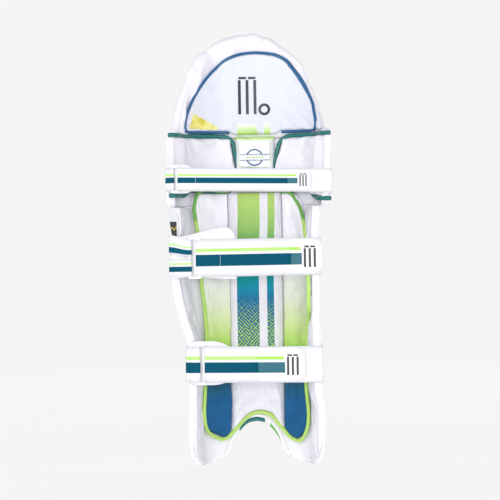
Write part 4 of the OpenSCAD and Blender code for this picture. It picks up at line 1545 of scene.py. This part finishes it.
def strap_tongue(s):
    """Soft flap behind the ring, sewn down at the left rim."""
    name = s["name"]
    lo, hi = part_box(f"{name}_tongue")
    end, bottom, top = s["info"]["tongue"]
    x0, x1 = lo.x - 6 * MM, PAD_X + end
    slim = name == "mid"

    def high(f):
        if slim:
            return mix(389 * MM, top, ease(f, 0.0, 0.86)) - 18 * MM * max(0, (f - 0.86) / 0.14) ** 2
        return top - 9 * MM * max(0, (f - 0.55) / 0.45) ** 2.2 - 2 * MM * (1 - ease(f, 0, 0.25))

    def low(f):
        if slim:
            return bottom + 0.002 * math.sin(f * 5)
        return bottom + 7 * MM * max(0, (f - 0.6) / 0.4) ** 2.2 + 5 * MM * (1 - ease(f, 0, 0.2))

    def place(i, j, y):
        z = mix(low(i), high(i), j)
        return Vector((mix(x0, x1, i), y, z))

    def near(i, j):
        fade = 1 - 0.35 * i
        return place(i, j, lo.y + 2.6 * MM - 2.6 * MM * crown(i) * crown(j) * fade)

    def far(i, j):
        return place(i, j, hi.y - 1.2 * MM + 1.0 * MM * crown(i) * crown(j))
    obj = slab(f"{name}_flap", 36, 20, far, near)
    smooth(obj)
    dress(obj, SOFT_WHITE, "mesh_white", "shin", (f"{name}_tongue",))


def strap_tab(s):
    """Moulded tab with a raised lip, the printed bands and the hook patch under it."""
    name, lo, hi, tilt, back = s["name"], s["tab_lo"], s["tab_hi"], s["tilt"], s["back"]
    long, height = hi.x - lo.x, hi.z - lo.z
    r = height * 0.28
    thick = 2.4 * MM
    mid = (lo.z + hi.z) / 2

    def half(x):
        d = x - (long - r)
        return height / 2 - r + math.sqrt(max(0, r * r - d * d)) if d > 0 else height / 2

    def point(i, j, t):
        x = long * (1 - (1 - i) ** 1.15)
        h = half(min(x, long - 0.02 * MM))
        z = mid + mix(-h, h, j) + tilt(lo.x + x, 0)
        return Vector((lo.x + x, back(lo.x + x) - t, z))

    def under(i, j):
        return point(i, j, 0.02 * MM)

    def over(i, j):
        edge = min(j, 1 - j) * height
        end = (1 - i) * long
        lip = ease(min(edge, end), 0, 1.6 * MM)
        groove = math.exp(-((min(edge, end) - 2.6 * MM) / (0.6 * MM)) ** 2)
        return point(i, j, thick * (0.45 + 0.55 * lip) - 0.35 * MM * groove)
    size = height * 0.64
    cx = hi.x - r * 0.7 - size * 0.26
    stripe_end = (cx - size * 0.26 - lo.x) * 1000 - 3.5
    mat = tab_plastic(f"tab_{name}", s["info"]["stripes"], (stripe_end - 2, stripe_end))

    def level(p, i, j):
        return p.x - lo.x, p.z - mid - tilt(p.x, 0)
    obj = slab(f"{name}_tab_moulding", 60, 24, under, over, level)
    dress(obj, mat, "tab_plastic", f"{name}_end", (f"{name}_tab",))

    # a generic wicket moulded on the tab's end, where the maker's sign would be
    sign = wicket(cx, mid + tilt(cx, 0), size, size * 0.1, 0.22)
    drape(f"{name}_tab_sign", sign, obj, INK, f"{name}_end", 0.1 * MM, 0.25 * MM)

    # hook tape on the tab's leg side of the under strap
    plo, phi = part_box(f"{name}_hook_patch")

    def hook(out):
        def at(i, j):
            bevel = 1 - 0.12 * (2 * i - 1) ** 8
            x = mix(plo.x, phi.x, i)
            z = mix(plo.z, phi.z, 0.5 + (j - 0.5) * bevel) + tilt(x, 0)
            return Vector((x, back(x) + mix(0.02 * MM, 1.2 * MM, out), z))
        return at
    patch = slab(f"{name}_hook_tape", 14, 10, hook(1), hook(0))
    dress(patch, HOOK, "hook", f"{name}_end", (f"{name}_hook_patch",))


def strap_stitches(s):
    """Rows of stitches across the straps, at the tab and beyond the ring."""
    name = s["name"]
    rows = {"top": (-0.0964,), "mid": (-0.0573,), "low": ()}[name]
    for k, x in enumerate(rows):
        x += PAD_X
        y = s["back"](max(x, s["knee"][0])) - 0.25 * MM
        path = [Vector((x, y, z + s["tilt"](x, 0))) for z in span(s["low"] + 2 * MM, s["high"] - 2 * MM, 12)]
        obj = stitches(f"{name}_strap_row_{k + 1}", path, Vector((0, -1, 0)), 2.2 * MM, 1.1 * MM, 0.4 * MM)
        dress(obj, THREAD, "webbing", None)
        if x > s["bar2"].x + 15 * MM:
            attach(obj, f"{name}_end")
        else:
            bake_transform(obj)


# ---------------------------------------------------------------- camera, light and floor
def studio():
    scene = bpy.context.scene
    scene.view_settings.view_transform = "Standard"
    scene.view_settings.look = "None"
    distance, across = 4.5, 0.850
    cam = bpy.data.cameras.new("camera")
    cam.sensor_width = 36
    cam.lens = 36 * distance / across
    obj = bpy.data.objects.new("camera", cam)
    scene.collection.objects.link(obj)
    obj.location = (PAD_X - 0.0073, -0.02 - distance, 0.3655)
    obj.rotation_euler = (math.pi / 2, 0, 0)
    obj.rotation_euler.rotate_axis("Z", math.radians(-0.9))
    cam.clip_end = 50
    scene.camera = obj

    world = bpy.data.worlds.new("studio")
    scene.world = world
    world.use_nodes = True
    world.node_tree.nodes["Background"].inputs[0].default_value = (1.0, 1.0, 1.0, 1)
    world.node_tree.nodes["Background"].inputs[1].default_value = 0.36

    def area(name, at, size, power, target=(0, 0, 0.37)):
        light = bpy.data.lights.new(name, "AREA")
        light.size = size
        light.energy = power
        o = bpy.data.objects.new(name, light)
        scene.collection.objects.link(o)
        o.location = at
        o.rotation_euler = (Vector(target) - Vector(at)).to_track_quat("-Z", "Y").to_euler()
    area("front", (-0.15, -4.9, 0.5), 1.2, 97)
    area("key", (-2.0, -2.6, 2.4), 1.4, 18)
    area("back", (0.8, 3.4, 2.4), 1.8, 26)

    n = Nodes("backdrop")
    paper = n.blend(n.noise(1.5, 1), "5c5c5c", "595959")
    n.shader.inputs["Emission Color"].default_value = (1, 1, 1, 1)
    n.shader.inputs["Emission Strength"].default_value = 0.83
    n.finish(paper, 0.95, specular=0.0)
    far, bend, high, turns = 6.0, 2.0, 8.0, 72
    profile = [(0.0, 0.0), (0.5 * far, 0.0), (far, 0.0)]
    for k in range(1, 13):
        angle = math.pi / 2 * k / 12
        profile.append((far + bend * math.sin(angle), bend - bend * math.cos(angle)))
    profile.append((far + bend, high))
    verts, faces = [], []
    for r, z in profile:
        for k in range(turns):
            angle = 2 * math.pi * k / turns
            verts.append(Vector((r * math.cos(angle), r * math.sin(angle), z)))
    for row in range(len(profile) - 1):
        for k in range(turns):
            after = (k + 1) % turns
            faces.append((row * turns + k, row * turns + after,
                          (row + 1) * turns + after, (row + 1) * turns + k))
    floor = make("floor", verts, faces, [(v.x, v.y) for v in verts])
    floor.data.materials.append(n.mat)


def build():
    studio()
    face_cover()
    for side, name in ((LEFT, "left"), (RIGHT, "right")):
        wing_cover(side, name)
        knee_outer(side, name)
    shin_lining()
    shin_edges()
    shin_bolsters()
    bolster_piping()
    knee_lining()
    knee_rolls()
    knee_bolsters()
    knee_prints(knee_centre())
    side_label()
    hat_cover()
    hat_lining()
    hat_rim()
    hat_prints(hat_pad())
    plastic = ring_finish()
    for name in STRAPS:
        s = strap(name)
        strap_anchor(s)
        strap_tongue(s)
        strap_tab(s)
        strap_stitches(s)
        dress(frame["nodes"][f"{name}_ring"], plastic, "ring_plastic", None)
    dress(frame["nodes"]["cane_rods"], cane_finish(), "cane", None)


build()
